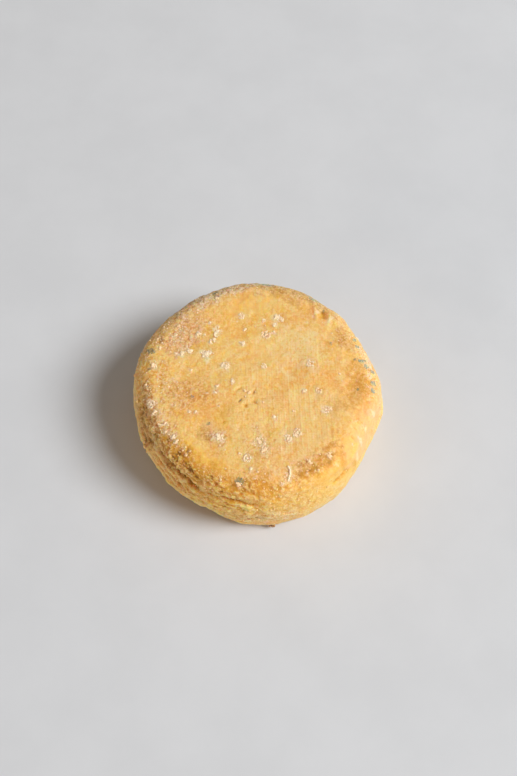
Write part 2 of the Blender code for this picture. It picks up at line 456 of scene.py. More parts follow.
@dataclass(frozen=True)
class Layer:
    """One layer of roughness, everywhere or in some patches only."""

    shape: Shape
    pitch: float | Triple
    height: float
    patches: tuple[Patch, ...] = ()
    elsewhere: float = 0.0
    shift: float = 0.0

    def relief(self, site: Site) -> Array:
        """Work out the layer's relief.

        Args:
            site: The places.

        Returns:
            Heights in metres.
        """
        share = np.ones(len(site.reach))
        if self.patches:
            share = np.maximum(cover(self.patches, site), self.elsewhere)
        chosen = share > LEAST_SHARE
        pattern = cells if self.shape is Shape.LUMP else waves
        form = pattern(site.points[chosen], self.pitch, self.shift)
        if self.shape is Shape.LUMP:
            form = LUMP_FOOT - form
        if self.shape is Shape.CREASE:
            form = -np.clip(1.0 - np.abs(form) / CREASE_HALF, 0.0, 1.0) ** CREASE_POWER
        total = np.zeros(len(site.reach))
        total[chosen] = share[chosen] * self.height * MM * form
        return total


@dataclass(frozen=True)
class Grain:
    """One blob of mould on the rind, in millimetres."""

    azimuth: float
    reach: float
    width: float
    lift: float
    tone: float


class Habit(Enum):
    """How a tuft of mould grows."""

    DOT = "one blob and a few beside it"
    CLUMP = "a warty heap"
    RING = "a ring of warts round a dimple"
    CURL = "a short bent ridge"


# Limits of a tuft's grains: their widths and lifts, and their shares of its tone
RING_GRAINS = ((0.28, 0.5), (-0.06, 0.06), (0.7, 1.15))
CURL_GRAINS = ((0.34, 0.5), (0.1, 0.22), (0.9, 1.1))
HEAP_GRAINS = ((0.3, 0.6), (0.7, 1.15))
HEAP_LIFT = (-0.08, 0.03)
LEAST_GRAINS = 8
# A ring: millimetres from wart to wart, how far round they go from its gap, how far in
# from the tuft's edge they stand, their scatter, and the dimple's own heap
RING_PITCH = 0.26
RING_SWEEP = (0.35, math.tau - 0.2)
RING_INSET = 0.2
RING_SCATTER = (0.72, 1.15)
RING_RIM = 0.5
LEAST_DIMPLE = 0.3
# A curl: its pitch, its place, bend and slant, and how far its grains stray
CURL_PITCH = 0.1
CURL_PLACE = 0.4
CURL_BEND = 1.6
CURL_SLANT = 0.3
CURL_STRAY = 0.05
# A heap: its spread, and for a thick and a thin one its grains for a square and its rise
HEAP_SPREAD = 0.45
THICK_HEAP = (7.5, 0.12)
THIN_HEAP = (4.0, 0.04)
# Mould thins out into the rind around each tuft
HALO_WIDTH = 0.62
HALO_STRENGTH = 0.5
HALO_RAGGED = 0.8
# Grains are spread by the round's own width in these limits, in millimetres
SPAN_LIMITS = (1.5, 30.0)


@dataclass(frozen=True)
class Tuft:
    """One tuft of white mould."""

    azimuth: float
    reach: float
    width: float
    habit: Habit = Habit.DOT
    tone: float = 0.85

    def halo(self) -> Patch:
        """Mark the rind that the tuft whitens."""
        half = HALO_WIDTH * self.width
        return Patch(self.azimuth, self.reach, half, half, HALO_STRENGTH * self.tone, HALO_RAGGED)

    def place(self, across: float, down: float, width: float, lift: float, tone: float) -> Grain:
        """Set a grain beside the tuft's middle.

        Args:
            across: Millimetres along the parallel.
            down: Millimetres down the meridian.
            width: The grain's width.
            lift: How far its middle is above the rind.
            tone: Its share of the tuft's tone.

        Returns:
            The grain.
        """
        span = max(min(self.reach, SPAN_LIMITS[1]), SPAN_LIMITS[0])
        azimuth = self.azimuth + math.degrees(across / span)
        return Grain(azimuth, self.reach + down, width, lift, self.tone * tone)

    def ring(self, draw: random.Random) -> list[Grain]:
        """Set warts round a dimple.

        Args:
            draw: Source of chance.

        Returns:
            The warts.
        """
        grown = []
        gap = draw.uniform(0.0, math.tau)
        for _ in range(max(LEAST_GRAINS, round(math.pi * self.width / RING_PITCH))):
            turn = gap + draw.uniform(*RING_SWEEP)
            out = (self.width / 2 - RING_INSET) * draw.uniform(*RING_SCATTER)
            size, lift, tone = (draw.uniform(*limits) for limits in RING_GRAINS)
            grown.append(self.place(out * math.cos(turn), out * math.sin(turn), size, lift, tone))
        return grown

    def curl(self, draw: random.Random) -> list[Grain]:
        """Set grains along a short bent ridge.

        Args:
            draw: Source of chance.

        Returns:
            The grains.
        """
        grown = []
        count = max(LEAST_GRAINS, round(self.width / CURL_PITCH))
        for index in range(count):
            share = index / (count - 1) - 0.5
            bend = CURL_PLACE - CURL_BEND * share * share - CURL_SLANT * share * self.width
            across = bend + draw.gauss(0.0, CURL_STRAY)
            size, lift, tone = (draw.uniform(*limits) for limits in CURL_GRAINS)
            grown.append(self.place(across, share * self.width, size, lift, tone))
        return grown

    def heap(self, half: float, draw: random.Random) -> list[Grain]:
        """Heap up grains.

        Args:
            half: The heap's half width.
            draw: Source of chance.

        Returns:
            The grains.
        """
        grown = []
        density, rise = THICK_HEAP if self.habit is Habit.CLUMP else THIN_HEAP
        for _ in range(max(2, round((2 * half) ** 2 * density))):
            out = abs(draw.gauss(0.0, HEAP_SPREAD)) * half
            turn = draw.uniform(0.0, math.tau)
            lift = rise * max(0.0, 1.0 - out / half) + draw.uniform(*HEAP_LIFT)
            size, tone = (draw.uniform(*limits) for limits in HEAP_GRAINS)
            grown.append(self.place(out * math.cos(turn), out * math.sin(turn), size, lift, tone))
        return grown

    def grains(self, draw: random.Random) -> list[Grain]:
        """Grow the tuft.

        Args:
            draw: Source of chance.

        Returns:
            Its grains.
        """
        if self.habit is Habit.CURL:
            return self.curl(draw)
        if self.habit is Habit.RING:
            return self.ring(draw) + self.heap(max(self.width / 2 - RING_RIM, LEAST_DIMPLE), draw)
        return self.heap(self.width / 2, draw)


# The relief fades out towards the base, the flats towards the crown, the tucks up the wall
FOOT_FADE = (0.1 * MM, 1.6 * MM)
OUTLINE_FADE = (14.0 * MM, 27.0 * MM)
TUCK_FADE = (37.0 * MM, 46.5 * MM)

FLATS = table(
    Flat,
    (28, 13, -1.4), (13, 7.5, -0.75), (52, 10, -0.5), (56, 24, -0.8), (128, 18, -0.4), (165, 15, 0.3),
    (188, 8, -0.25), (95, 26, 0.35), (99, 8, 0.35), (222, 20, -1.3), (305, 20, -0.5), (335, 14, -1.1),
)
# Where the foot is tucked in under the wall, or splays
TUCKS = table(Flat, (248, 11, -1.45), (286, 12, 0.5))

FURROWS = (
    # The crack that opens along the front wall, and the folds round it
    Furrow(((-108, 33), (-101, 33.6), (-96, 34), (-90, 34.8)), 0.5, 1, 0.5, 1),
    Furrow(((-148, 32.2), (-136, 32.8), (-125, 33.6), (-116, 34.6)), 0.85, 1, 0.5, 0.9),
    Furrow(((-150, 36), (-136, 37.2), (-122, 39.2), (-108, 40.2)), 0.6, 0.6, 0.35, 0.6),
    Furrow(
        ((-158, 37), (-146, 38.6), (-132, 40.6), (-116, 42), (-100, 42.6), (-84, 42)), 0.75, 0.8, 0.35, 0.5
    ),
    Furrow(((-150, 41.4), (-130, 44.2), (-105, 45.4), (-85, 45.4)), 0.5, 0.45, 0.2, 0.5),
    Furrow(((-160, 34), (-150, 35.4), (-141, 36.2)), 0.5, 0.3, 0.2, 0.7),
    # The fold where the upper face meets the front shoulder
    Furrow(((-72, 26.6), (-66, 26.8), (-57, 27.2), (-46, 28)), 1.3, 0.5, 0.25, 0.6),
    # The amber crease in the right front wall
    Furrow(((-55.5, 35.8), (-50, 34.6), (-45, 33.6)), 0.5, 0.35, 0.1, 0.8),
    # The hollow with two ridges at the back right of the upper face
    Furrow(((51.5, 27.4), (49, 26), (46, 24.6)), 0.75, 0.6, 0, 0.15),
    Furrow(((56, 26.4), (52.5, 24.8), (48, 23)), 0.4, -0.3, 0, 0.3),
    Furrow(((46.5, 27.4), (43.5, 25.6), (40.5, 23.6)), 0.4, -0.3, 0, 0.3),
    # The trough pressed into the right of the upper face
    Furrow(((2, 25.4), (-13, 21.4), (-31, 17.6)), 2.2, 0.3),
    # The hollow under the left shoulder
    Furrow(((-170, 29.6), (-159, 31.6), (-147, 32.4)), 2, 1, 0.3, 0.4),
    # Creases on the other walls
    Furrow(((26, 34.6), (38, 35.6), (47, 35.2), (60, 36.4)), 0.9, 0.4, 0.2, 1),
    Furrow(((96, 36), (104, 37.4), (118, 36.6), (131, 37.8)), 0.8, 0.5, 0.25, 0.9),
    Furrow(((-20, 36.4), (-8, 37.8), (6, 37)), 0.6, 0.5, 0.2, 0.4),
)

PITS = table(
    Pit,
    (-143, 27.8, 1.4, 1.2, 0.26), (-135, 28.4, 1.6, 1.2, 0.26), (-125, 29.9, 2.2, 1.8, 0.45),
    (-121.5, 28.4, 1.2, 1.2, 0.26), (-117, 31, 1.6, 1.4, 0.33), (-109.5, 29.6, 1.8, 1.4, 0.33),
    (-102, 28.8, 1.7, 1.5, 0.4), (-97.5, 30.8, 1.5, 1.2, 0.35), (-106, 31.2, 1.5, 1.3, 0.35),
    (-96, 29.4, 1.2, 1.3, 0.23), (-84, 28.6, 1.1, 1.2, 0.23), (-72, 28.4, 1, 1, 0.23),
    (-148, 5.4, 0.7, 1.8, 0.4), (-106, 3.8, 0.7, 1.4, 0.35), (-125.5, 7.3, 0.6, 1.5, 0.4),
    (-111.5, 7.8, 0.9, 1.1, 0.5), (-96.5, 6.4, 1.3, 1.2, 0.35), (-150, 12.4, 0.7, 0.7, 0.25),
    (-125, 14.2, 0.7, 1.1, 0.3), (-24, 27.2, 0.7, 1.1, 0.3), (-30, 27.4, 0.6, 1.5, 0.3),
    (-35, 28.2, 0.6, 1.4, 0.3), (-13, 27.6, 0.7, 1.2, 0.25),
)

# Places that crumbs cling to, that are rough, that fold and that crumble
FRONT_WALL = table(Patch, (-100, 36, 26, 9.5), (-132, 35, 16, 9))
ROUGH_WALLS = table(
    Patch,
    (-98, 35, 24, 8, 0.9), (-134, 35, 14, 8, 0.75), (78, 37, 18, 6, 0.7, 0.6), (158, 38, 18, 6, 0.7, 0.6),
)
FRONT_LEFT = table(Patch, (-126, 35.5, 17, 8.5), (-103, 38, 10, 5, 0.7))
LOW_FOLDS = table(Patch, (-112, 41, 26, 6), (-146, 38, 10, 6, 0.8))
SHOULDER_CRUMBLE = table(
    Patch,
    (-133, 30, 14, 3.4), (-98, 29.6, 13, 2.6), (-156, 29.5, 9, 3.4, 0.9), (-179, 28.4, 11, 3.6, 0.75),
)
FOLD_CRUMBLE = table(Patch, (-62, 26.4, 8, 2), (112, 28.6, 14, 3, 0.6))
BACK_LEFT = table(Patch, (122, 27, 19, 3.2), (160, 28.5, 9, 2.6, 0.6))
# Frosted with fine mould, the first of them with a thick crust
CRUSTED = table(
    Patch,
    (148, 22.4, 5.6, 5, 1, 0.5), (133, 21.5, 4.6, 4, 0.75, 0.5), (-165, 18.8, 5.2, 6.6, 0.85, 0.6),
    (177, 24.2, 5.6, 3.4, 0.85, 0.5),
)
FROSTED = CRUSTED + table(
    Patch,
    (-154, 27.2, 15, 3, 1, 0.5), (-177, 27, 10, 3, 0.8, 0.5), (116, 27.6, 14, 3.2, 0.95, 0.5),
    (76, 28.2, 14, 2.6, 0.7, 0.5), (-88, 18.6, 4.6, 5.8, 0.7, 0.6), (-121, 18.2, 3.6, 3.2, 0.65, 0.5),
    (-62, 26, 8, 2.4, 0.6, 0.5), (-88, 25.6, 9, 3, 0.6, 0.6), (29, 26.6, 4.4, 3.4, 0.7, 0.6),
    (0, 24.6, 4.4, 3.4, 0.5, 0.6), (-173, 21.6, 4.4, 3.6, 0.9, 0.6), (78, 16, 4.4, 4, 0.35, 0.6),
    (-100, 38, 28, 9, 0.65, 0.4), (60, 37, 14, 6, 0.85, 0.6), (150, 38, 12, 6, 0.8, 0.6),
    (4, 38, 9, 4, 0.6, 0.6),
)
FROST_ON_WALL = 0.6
FROST_ON_TOP = 0.36
FROST_RAG = 0.6
# Waxy places that almost no mould has reached
BARE = table(
    Patch,
    (60, 8, 9, 9, 0.5, 0.7), (40, 18, 7, 6, 0.4, 0.7), (95, 21, 6, 4, 0.7, 0.7), (-50, 16, 9, 6, 0.6, 0.7),
    (-36, 33, 17, 9, 0.75, 0.6), (14, 36, 14, 7, 0.4, 0.7), (-128, 24.8, 7, 2.4, 0.8, 0.6),
    (-179, 32, 9, 3.5, 0.35, 0.7), (-110, 24.6, 6, 2, 0.5, 0.6),
)

LAYERS = (
    Layer(Shape.SWELL, 15, 0.35),
    Layer(Shape.SWELL, 6, 0.22, shift=7.3),
    Layer(Shape.SWELL, 2.8, 0.1, shift=14.6),
    Layer(Shape.LUMP, 2.3, 0.5, ROUGH_WALLS, 0.3),
    Layer(Shape.LUMP, 1.2, 0.38, ROUGH_WALLS + SHOULDER_CRUMBLE + BACK_LEFT, 0.27, 3.1),
    Layer(Shape.LUMP, 1.7, 0.34, FOLD_CRUMBLE, 0, 8.3),
    Layer(Shape.SWELL, (3.4, 3.4, 1.2), 0.5, FRONT_LEFT, 0, 5.2),
    Layer(Shape.CREASE, (5, 5, 1.5), 0.35, FRONT_LEFT, 0, 1.9),
    Layer(Shape.CREASE, (7, 7, 2), -0.35, LOW_FOLDS, 0, 9.4),
    Layer(Shape.CREASE, (1.5, 1.5, 3.2), -0.5, SHOULDER_CRUMBLE, 0, 4.4),
    Layer(Shape.LUMP, 0.8, 0.24, FROSTED, 0.12, 6.6),
    Layer(Shape.LUMP, 1.5, 0.26, CRUSTED, 0, 5.9),
    Layer(Shape.SWELL, 0.8, 0.075, shift=2.2),
)

DOT, CLUMP, RING, CURL = Habit
TUFTS = table(
    Tuft,
    (114, 25.9, 1.5, CLUMP), (103, 18.4, 1.7, RING), (103, 14.5, 1.1), (111, 10.7, 1.6, CLUMP, 1),
    (85, 17.1, 1.3), (76, 18.6, 2, CLUMP), (72, 18.2, 1.8, RING), (75, 16.2, 1.3),
    (81, 12.8, 2.5, RING, 0.6), (74, 14.1, 1.1, CLUMP), (134, 15.7, 1.5, CLUMP), (126, 17, 1.5, CLUMP, 1),
    (129.5, 16.3, 1.4, CURL, 1), (123.5, 17.9, 0.9, DOT, 1), (138, 19.6, 1.2), (150, 14.5, 3, CLUMP, 1),
    (154, 8.8, 2.3, RING), (-172, 6.2, 1.5, CLUMP), (-168, 10.2, 1.2, CLUMP), (-160, 10.9, 1.2, CLUMP),
    (68, 3.8, 1.6, RING, 0.7), (18, 13.2, 2, RING), (-17, 11.5, 1.1, CLUMP), (-13, 14.9, 1.8, RING, 0.5),
    (-28, 18.4, 2.2, RING, 0.7), (-70, 11.1, 1.3, CLUMP, 1), (-121, 18.4, 2.8, CLUMP),
    (-58, 17.4, 2.5, RING, 0.7), (-67, 17.6, 2.1, RING), (-97, 21.4, 2.1, RING),
    (-89, 17.2, 2.8, RING, 0.6), (-86, 19.2, 2, CLUMP, 0.6), (-74.5, 26.2, 3.2, CURL, 1),
    (-51, 27, 1.9, CLUMP, 0.35), (-62, 25.4, 1.4, CLUMP, 0.4), (-165, 26.8, 2.2, RING, 1),
    (-160, 26.4, 1.4, CLUMP), (-142, 26.6, 1.9, CLUMP, 1), (159, 20.1, 1.2), (154, 18.6, 1.6, CLUMP),
    (-94, 24.3, 1.1, CLUMP), (-99, 28.2, 1.6, CLUMP, 0.4), (158.5, 19.8, 1.6, CLUMP), (160, 21.2, 1),
    (139, 19.8, 1), (136, 18.4, 0.9), (126.5, 20.4, 0.9), (138, 15.8, 1.1, CLUMP),
    (171.5, 16.4, 1, DOT, 0.6), (172, 25.4, 1.5, CLUMP), (160, 25.4, 1.1, CLUMP, 0.5),
    (-149, 17.4, 1.2, DOT, 0.7), (-151, 18.8, 1.1, DOT, 0.7), (-132, 4.6, 1, CLUMP, 0.45),
    (-118, 4.3, 0.9, CLUMP, 0.4), (-122, 5.8, 0.9, DOT, 0.4), (-79, 6.6, 0.8, DOT, 0.4),
    (-47, 12.2, 0.8, DOT, 0.4), (-25, 19.4, 1.2, DOT, 0.5), (4, 19.8, 0.8, DOT, 0.4),
    (-101, 20.6, 0.9, DOT, 0.6), (-152, 26.4, 1.7, CURL, 0.7), (-147, 27, 1.3, CLUMP, 0.7),
    (-138.5, 27, 1.3, CLUMP, 0.7), (-177, 27.4, 1.2, CLUMP, 0.4), (-78.5, 28, 1.1, DOT, 0.7),
)

# Stains, by their colours; the brown, white, yellow and peach ones also hold painted shade, a painted
# highlight or painted bounce light where noted
ROSY = table(
    Patch,
    (148, 22.4, 6.4, 5.6, 1, 0.6), (133, 23.5, 6, 4.6, 0.8, 0.6), (-165, 18, 5.4, 6.6, 0.7, 0.7),
    (-154, 27, 12, 2.6, 0.9, 0.5), (116, 27.6, 16, 4, 1, 0.4), (70, 29, 16, 3, 0.7, 0.5),
    (-88, 18.6, 4.8, 6, 0.45, 0.6), (-125, 18.4, 4.6, 3.6, 0.9, 0.5), (-62, 26, 8, 3, 1, 0.5),
    (-90, 26.6, 7, 2.4, 0.5, 0.6), (-24, 19.4, 3.4, 4, 0.7, 0.6), (28, 26.2, 3.6, 2.6, 0.6, 0.6),
    (-6, 24.6, 7, 5, 0.8, 0.7), (62, 27, 10, 3, 0.7, 0.7),
)
# Brown rind, and on the shaded left and front-left walls, the back-left shoulder and the front fold also
# painted shade
BROWNED_AND_SHADED = table(
    Patch,
    (-158, 31.5, 8, 4.8, 1, 0.5), (-138, 30.2, 12, 3, 1, 0.5), (-146, 28.8, 7, 2.6, 0.75, 0.7),
    (-118, 30.2, 8, 2.4, 0.6, 0.7), (-158, 34, 10, 5, 0.55, 0.8), (-170, 27.6, 6, 2.4, 0.5, 0.7),
    (-132, 36, 14, 5, 0.3, 0.8), (-128, 33.5, 13, 1.1, 0.9, 0.5), (-100, 33.6, 5, 0.7, 0.3, 0.5),
    (-104, 41.4, 10, 4, 0.45, 0.8), (-113, 32.8, 5, 1.5, 0.3, 0.6), (-152, 33, 8, 5, 0.25, 0.8),
    (-62, 26.9, 8, 2.2, 0.85, 0.6), (-94, 28.4, 9, 2, 0.5, 0.7), (-130, 19.8, 2, 2.4, 0.55, 0.7),
    (-133, 12.4, 1.4, 2, 0.35, 0.7), (-92, 5.6, 5, 4, 0.12, 0.8), (72, 25.6, 6, 2, 0.4, 0.8),
    (118, 28.6, 17, 3.2, 0.28, 0.7), (72, 28.6, 14, 2.8, 0.7, 0.7), (150, 27.5, 7, 2.4, 0.3, 0.7),
    (28, 26, 4.2, 2.8, 0.4, 0.7), (-3, 24, 3.2, 2.4, 0.15, 0.7), (-22, 20.4, 2.6, 3.6, 0.25, 0.7),
)
WHITENED_AND_HIGHLIT = table(
    Patch,
    (42, 14, 8, 8, 0.24, 0.8), (-92, 6, 6, 5, 0.12, 0.8), (-55, 17, 9, 7, 0.15, 0.8),
    # The streaks at azimuths -16 to -37 on the right wall, facing the key lamp, are partly pale mould,
    # partly a painted highlight
    (110, 27.6, 9, 2.4, 0.3, 0.9), (-86, 41, 6, 3.4, 0.3, 0.9), (-26, 30.4, 0.6, 1.8, 0.6, 0.8),
    (-32, 31.4, 0.5, 1.8, 0.5, 0.8), (-16, 31, 0.7, 1.8, 0.5, 0.8), (-37, 34, 0.5, 2.4, 0.4, 0.8),
    (12, 28.6, 6, 1.6, 0.5, 0.9), (52.5, 24.8, 0.6, 1.6, 0.5, 0.5), (43.5, 25.6, 0.6, 1.6, 0.5, 0.5),
    (3, 27.4, 1.4, 0.8, 0.7, 0.6), (8, 28.8, 2.6, 0.6, 0.6, 0.8),
)
YELLOWED_AND_BOUNCE_LIT = table(
    Patch,
    (-125, 25.6, 8, 2.2, 0.8, 0.6), (-98, 35.4, 8, 1.6, 1, 0.5), (-126, 36, 14, 1.8, 0.8, 0.6),
    (-87, 36, 6, 3.4, 0.8, 0.7), (-112, 6.4, 3.6, 3.2, 0.6, 0.6), (-128, 14.6, 2.8, 2.4, 0.6, 0.6),
    # The patch at azimuth -178 brightens the shaded left edge: painted bounce light
    (-48, 33, 14, 7, 0.6, 0.5), (-178, 31, 10, 4, 0.5, 0.5), (0, 26, 5, 3.6, 0.6, 0.6),
    (20, 38, 20, 7, 0.4, 0.6), (110, 16, 7, 6, 0.2, 0.8), (-134, 13, 2, 2.4, 0.6, 0.7),
)
# Dried to the colour of honey
HONEYED = table(
    Patch,
    (-131, 27.6, 8, 2.6, 1, 0.7), (-114, 28.2, 9, 2.6, 0.9, 0.7), (-94, 28.8, 9, 2.8, 1, 0.8),
    (-62, 27.4, 8, 2, 0.8, 0.7), (-50, 34.8, 3.4, 0.8, 1, 0.6), (-48.5, 25.4, 1.6, 0.9, 0.8, 0.7),
    (-73.5, 28.4, 1, 1, 0.9, 0.7), (-104, 33, 12, 3, 0.35, 0.8), (-98, 33.8, 8, 0.9, 1, 0.4),
    (-78, 33, 12, 6, 0.3, 0.9), (-114, 33, 7, 3.4, 0.5, 0.8), (48.5, 25.6, 0.8, 1.6, 1, 0.3),
    (26, 25.6, 3.6, 2.6, 0.45, 0.7), (-6, 25, 6, 4, 0.7, 0.8), (-168, 18, 6, 7, 0.35, 0.8),
    (-8, 28, 3, 1.8, 0.5, 0.7), (-47, 31, 1, 2.2, 0.8, 0.7), (-40, 36, 1, 2.4, 0.8, 0.8),
)
# Paler and drier than the rest; the patch at azimuth -178 also brightens the shaded left edge as painted
# bounce light
PEACHY = table(
    Patch,
    (-104, 46, 28, 4.2, 0.6, 0.5), (-136, 38, 12, 5, 0.5, 0.6), (-178, 32, 11, 6, 0.6, 0.5),
    (-16, 33, 17, 6, 1, 0.5), (14, 34, 12, 6, 1, 0.5), (40, 34, 12, 6, 0.7, 0.5),
)
# Grey-green mould: darker in sheltered places, paler where it is young
OLIVE_SPOTS = table(
    Patch,
    (163, 27.3, 0.8, 1.4), (174, 26.3, 0.4, 0.6, 0.9), (-99, 27.2, 1.2, 0.9, 0.8),
    (-134, 17.1, 0.4, 0.6, 0.9), (12, 27.9, 0.3, 0.3), (-6.5, 24.4, 0.3, 0.3), (13, 25.5, 0.4, 0.5, 0.6),
    (113, 28.2, 0.9, 0.7, 0.9), (50.5, 27.4, 0.3, 0.4, 0.7), (29, 21.4, 0.4, 0.5, 0.5),
    (-125.5, 7.4, 0.25, 0.8, 0.6), (-163, 16.6, 0.3, 0.6, 0.5),
)
TEAL_SPOTS = table(
    Patch,
    (26.5, 28.6, 0.5, 0.8), (21.5, 28, 0.5, 0.6), (11.5, 26.9, 0.6, 0.9), (8, 27.5, 0.7, 0.7, 0.8),
    (5.5, 28.7, 0.6, 0.8), (-1.5, 28.3, 0.7, 0.8), (-5.5, 28.4, 0.6, 0.7), (86, 28.8, 2.6, 0.8, 0.8),
    (60, 29.2, 2.2, 0.7, 0.7),
)
# Where the drain cloth's print is clear, and how clear it is elsewhere
PRINTED = table(
    Patch,
    (-60, 8, 11, 12, 1, 0.6), (-70, 19, 10, 5, 0.9, 0.6), (20, 12, 8, 9, 0.7, 0.7),
    (-30, 18, 6, 6, 0.8, 0.6), (180, 9, 6, 6, 0.5, 0.7),
)
PRINT_ELSEWHERE = 0.28
FROST_OVER_PRINT = 0.7

STAINS_AND_PAINTED_LIGHT = {
    "rosy": ROSY,
    "brown": BROWNED_AND_SHADED,
    "white": WHITENED_AND_HIGHLIT + tuple(tuft.halo() for tuft in TUFTS),
    "yellow": YELLOWED_AND_BOUNCE_LIT,
    "honey": HONEYED,
    "peach": PEACHY,
    "olive": OLIVE_SPOTS,
    "teal": TEAL_SPOTS,
}

# Where the upper face turns into the wall
SHOULDER_BAND = (24.0 * MM, 28.0 * MM)


@dataclass
class Skin:
    """The dried rind: every form on it, read at any place."""

    flats: tuple[Flat, ...] = FLATS
    tucks: tuple[Flat, ...] = TUCKS
    furrows: tuple[Furrow, ...] = FURROWS
    pits: tuple[Pit, ...] = PITS
    layers: tuple[Layer, ...] = LAYERS

    def frost(self, site: Site) -> Array:
        """Work out how thickly fine mould frosts each place.

        Args:
            site: The places.

        Returns:
            Shares from 0 to about 1.
        """
        wall = ramp(*SHOULDER_BAND, site.reach)
        least = FROST_ON_TOP + (FROST_ON_WALL - FROST_ON_TOP) * wall
        least = least * (1.0 + FROST_RAG * site.rag) * (1.0 - cover(BARE, site))
        return np.maximum(cover(FROSTED, site), least)

    def relief(self, site: Site) -> Array:
        """Add up all relief, in metres over the smooth round."""
        kinds = (self.layers, self.furrows, self.pits)
        return sum(sum(part.relief(site) for part in parts) for parts in kinds)

    def points(self, site: Site, relief: Array) -> Array:
        """Stand the relief on the round and let its outline in and out.

        Args:
            site: The places.
            relief: Heights over the smooth round.

        Returns:
            Points on the finished rind.
        """
        push = push_at(self.flats, site.azimuth)
        push += push_at(self.tucks, site.azimuth) * ramp(*TUCK_FADE, site.reach)
        span = np.hypot(site.points[:, 0], site.points[:, 1])
        outward = site.points[:, :2] / np.maximum(span, MM)[:, None]
        points = site.points.copy()
        points[:, :2] += outward * (push * ramp(*OUTLINE_FADE, span))[:, None]
        free = ramp(*FOOT_FADE, site.points[:, 2])
        return points + site.normals * (relief * free)[:, None]

    def perch(self, azimuth: list[float], reach: list[float]) -> tuple[Array, Array]:
        """Find points on the rind, from reaches in millimetres, and the ways off it."""
        site = ROUND.at(np.array(azimuth), np.array(reach) * MM)
        return self.points(site, self.relief(site)), site.normals


# The way in which a shifted noise moves, and how strong its finer parts are
NOISE_WAY = (1.0, 1.7, -1.0)
NOISE_ROUGHNESS = 0.6


class Palette:
    """Wires a material's nodes around one Principled shader."""

    def __init__(self, name: str) -> None:
        """Start a material.

        Args:
            name: Its name.
        """
        self.material = bpy.data.materials.new(name)
        self.material.use_nodes = True
        self.tree = self.material.node_tree
        self.shader = self.tree.nodes["Principled BSDF"]
        self.place = self.node("TexCoord").outputs["Object"]

    def node(self, kind: str, **settings: str) -> bpy.types.Node:
        """Add a node.

        Args:
            kind: Its type, after "ShaderNode".
            settings: Its properties.

        Returns:
            The node.
        """
        node = self.tree.nodes.new("ShaderNode" + kind)
        for name, value in settings.items():
            setattr(node, name, value)
        return node

    def fill(self, node: bpy.types.Node, values: dict[str | int, Value]) -> bpy.types.Node:
        """Link some of a node's inputs, or set them to constants.

        Args:
            node: The node.
            values: Another node's output, a number or a colour for each input.

        Returns:
            The node.
        """
        for name, value in values.items():
            if isinstance(value, Socket):
                self.tree.links.new(value, node.inputs[name])
            else:
                node.inputs[name].default_value = value
        return node

    def maths(self, operation: str, first: Value, second: Value = 0.0) -> Socket:
        """Combine two numbers by a Math node's operation."""
        return self.fill(self.node("Math", operation=operation), {0: first, 1: second}).outputs[0]

    def times(self, first: Value, second: Value) -> Socket:
        """Multiply two numbers."""
        return self.maths("MULTIPLY", first, second)

    def plus(self, *numbers: Value) -> Socket:
        """Add up numbers.

        Args:
            numbers: Numbers or outputs, at least two.

        Returns:
            Their sum.
        """
        total = numbers[0]
        for number in numbers[1:]:
            total = self.maths("ADD", total, number)
        return total

    def weigh(self, numbers: tuple[Value, ...], shares: tuple[float, ...]) -> Socket:
        """Add up numbers, each times its share."""
        return self.plus(*(self.times(number, share) for number, share in zip(numbers, shares)))

    def fit(self, value: Value, low: float, high: float, start: float = 0.0, end: float = 1.0) -> Socket:
        """Ease a number into another range.

        Args:
            value: The number.
            low: Where the slope starts.
            high: Where the slope ends.
            start: Result at low.
            end: Result at high.

        Returns:
            The eased number.
        """
        node = self.node("MapRange", interpolation_type="SMOOTHSTEP")
        limits = {"From Min": low, "From Max": high, "To Min": start, "To Max": end}
        return self.fill(node, {"Value": value, **limits}).outputs["Result"]

    def mix(self, share: Value, below: Value, above: Value) -> Socket:
        """Lay one colour over another, by the share of it that shows."""
        node = self.node("Mix", data_type="RGBA")
        return self.fill(node, {0: share, 6: below, 7: above}).outputs[2]

    def coat(self, colour: Value, *coats: tuple[Value, Value]) -> Socket:
        """Lay coats over a colour, one after the other.

        Args:
            colour: The colour at the bottom.
            coats: Each coat's share and its own colour.

        Returns:
            The colour of them all.
        """
        for share, above in coats:
            colour = self.mix(share, colour, above)
        return colour

    def masked(self, mask: Value, value: Value, slope: Slope) -> Socket:
        """Ease a number by a slope, and let it through a mask."""
        return self.times(mask, self.fit(value, *slope))

    def blots(self, noise: Noise, slope: Slope) -> Socket:
        """Ease a noise by a slope."""
        return self.fit(self.mottle(*noise), *slope)

    def attribute(self, name: str) -> Socket:
        """Read a number that the mesh carries."""
        return self.node("Attribute", attribute_name=name).outputs["Fac"]

    def mottle(self, pitch: float, detail: float, shift: float = 0.0) -> Socket:
        """Read smooth noise from 0 to 1.

        Args:
            pitch: Millimetres from blot to blot.
            detail: How much finer noise is added.
            shift: Moves the pattern, in metres.

        Returns:
            The noise.
        """
        spot = self.fill(self.node("VectorMath"), {0: self.place, 1: [shift * way for way in NOISE_WAY]})
        values = {"Scale": 1.0 / (pitch * MM), "Detail": detail, "Roughness": NOISE_ROUGHNESS}
        return self.fill(self.node("TexNoise"), {"Vector": spot.outputs[0], **values}).outputs["Fac"]

    def grains(self, pitch: float) -> Socket:
        """Read how far the nearest grain's middle is, 0 to about 0.8."""
        values = {"Scale": 1.0 / (pitch * MM), "Vector": self.place}
        return self.fill(self.node("TexVoronoi"), values).outputs["Distance"]

    def glow(self, weight: float, radius: Triple, scale: float) -> None:
        """Let light sink in, by its weight, each colour's share and its depth in metres."""
        names = ("Subsurface Weight", "Subsurface Radius", "Subsurface Scale")
        self.fill(self.shader, dict(zip(names, (weight, radius, scale))))

    def bump(self, height: Socket, depth: float, strength: float) -> None:
        """Roughen the surface, by a height of 1's depth in metres and how much of it shows."""
        values = {"Strength": strength, "Distance": depth, "Height": height}
        self.fill(self.shader, {"Normal": self.fill(self.node("Bump"), values).outputs["Normal"]})


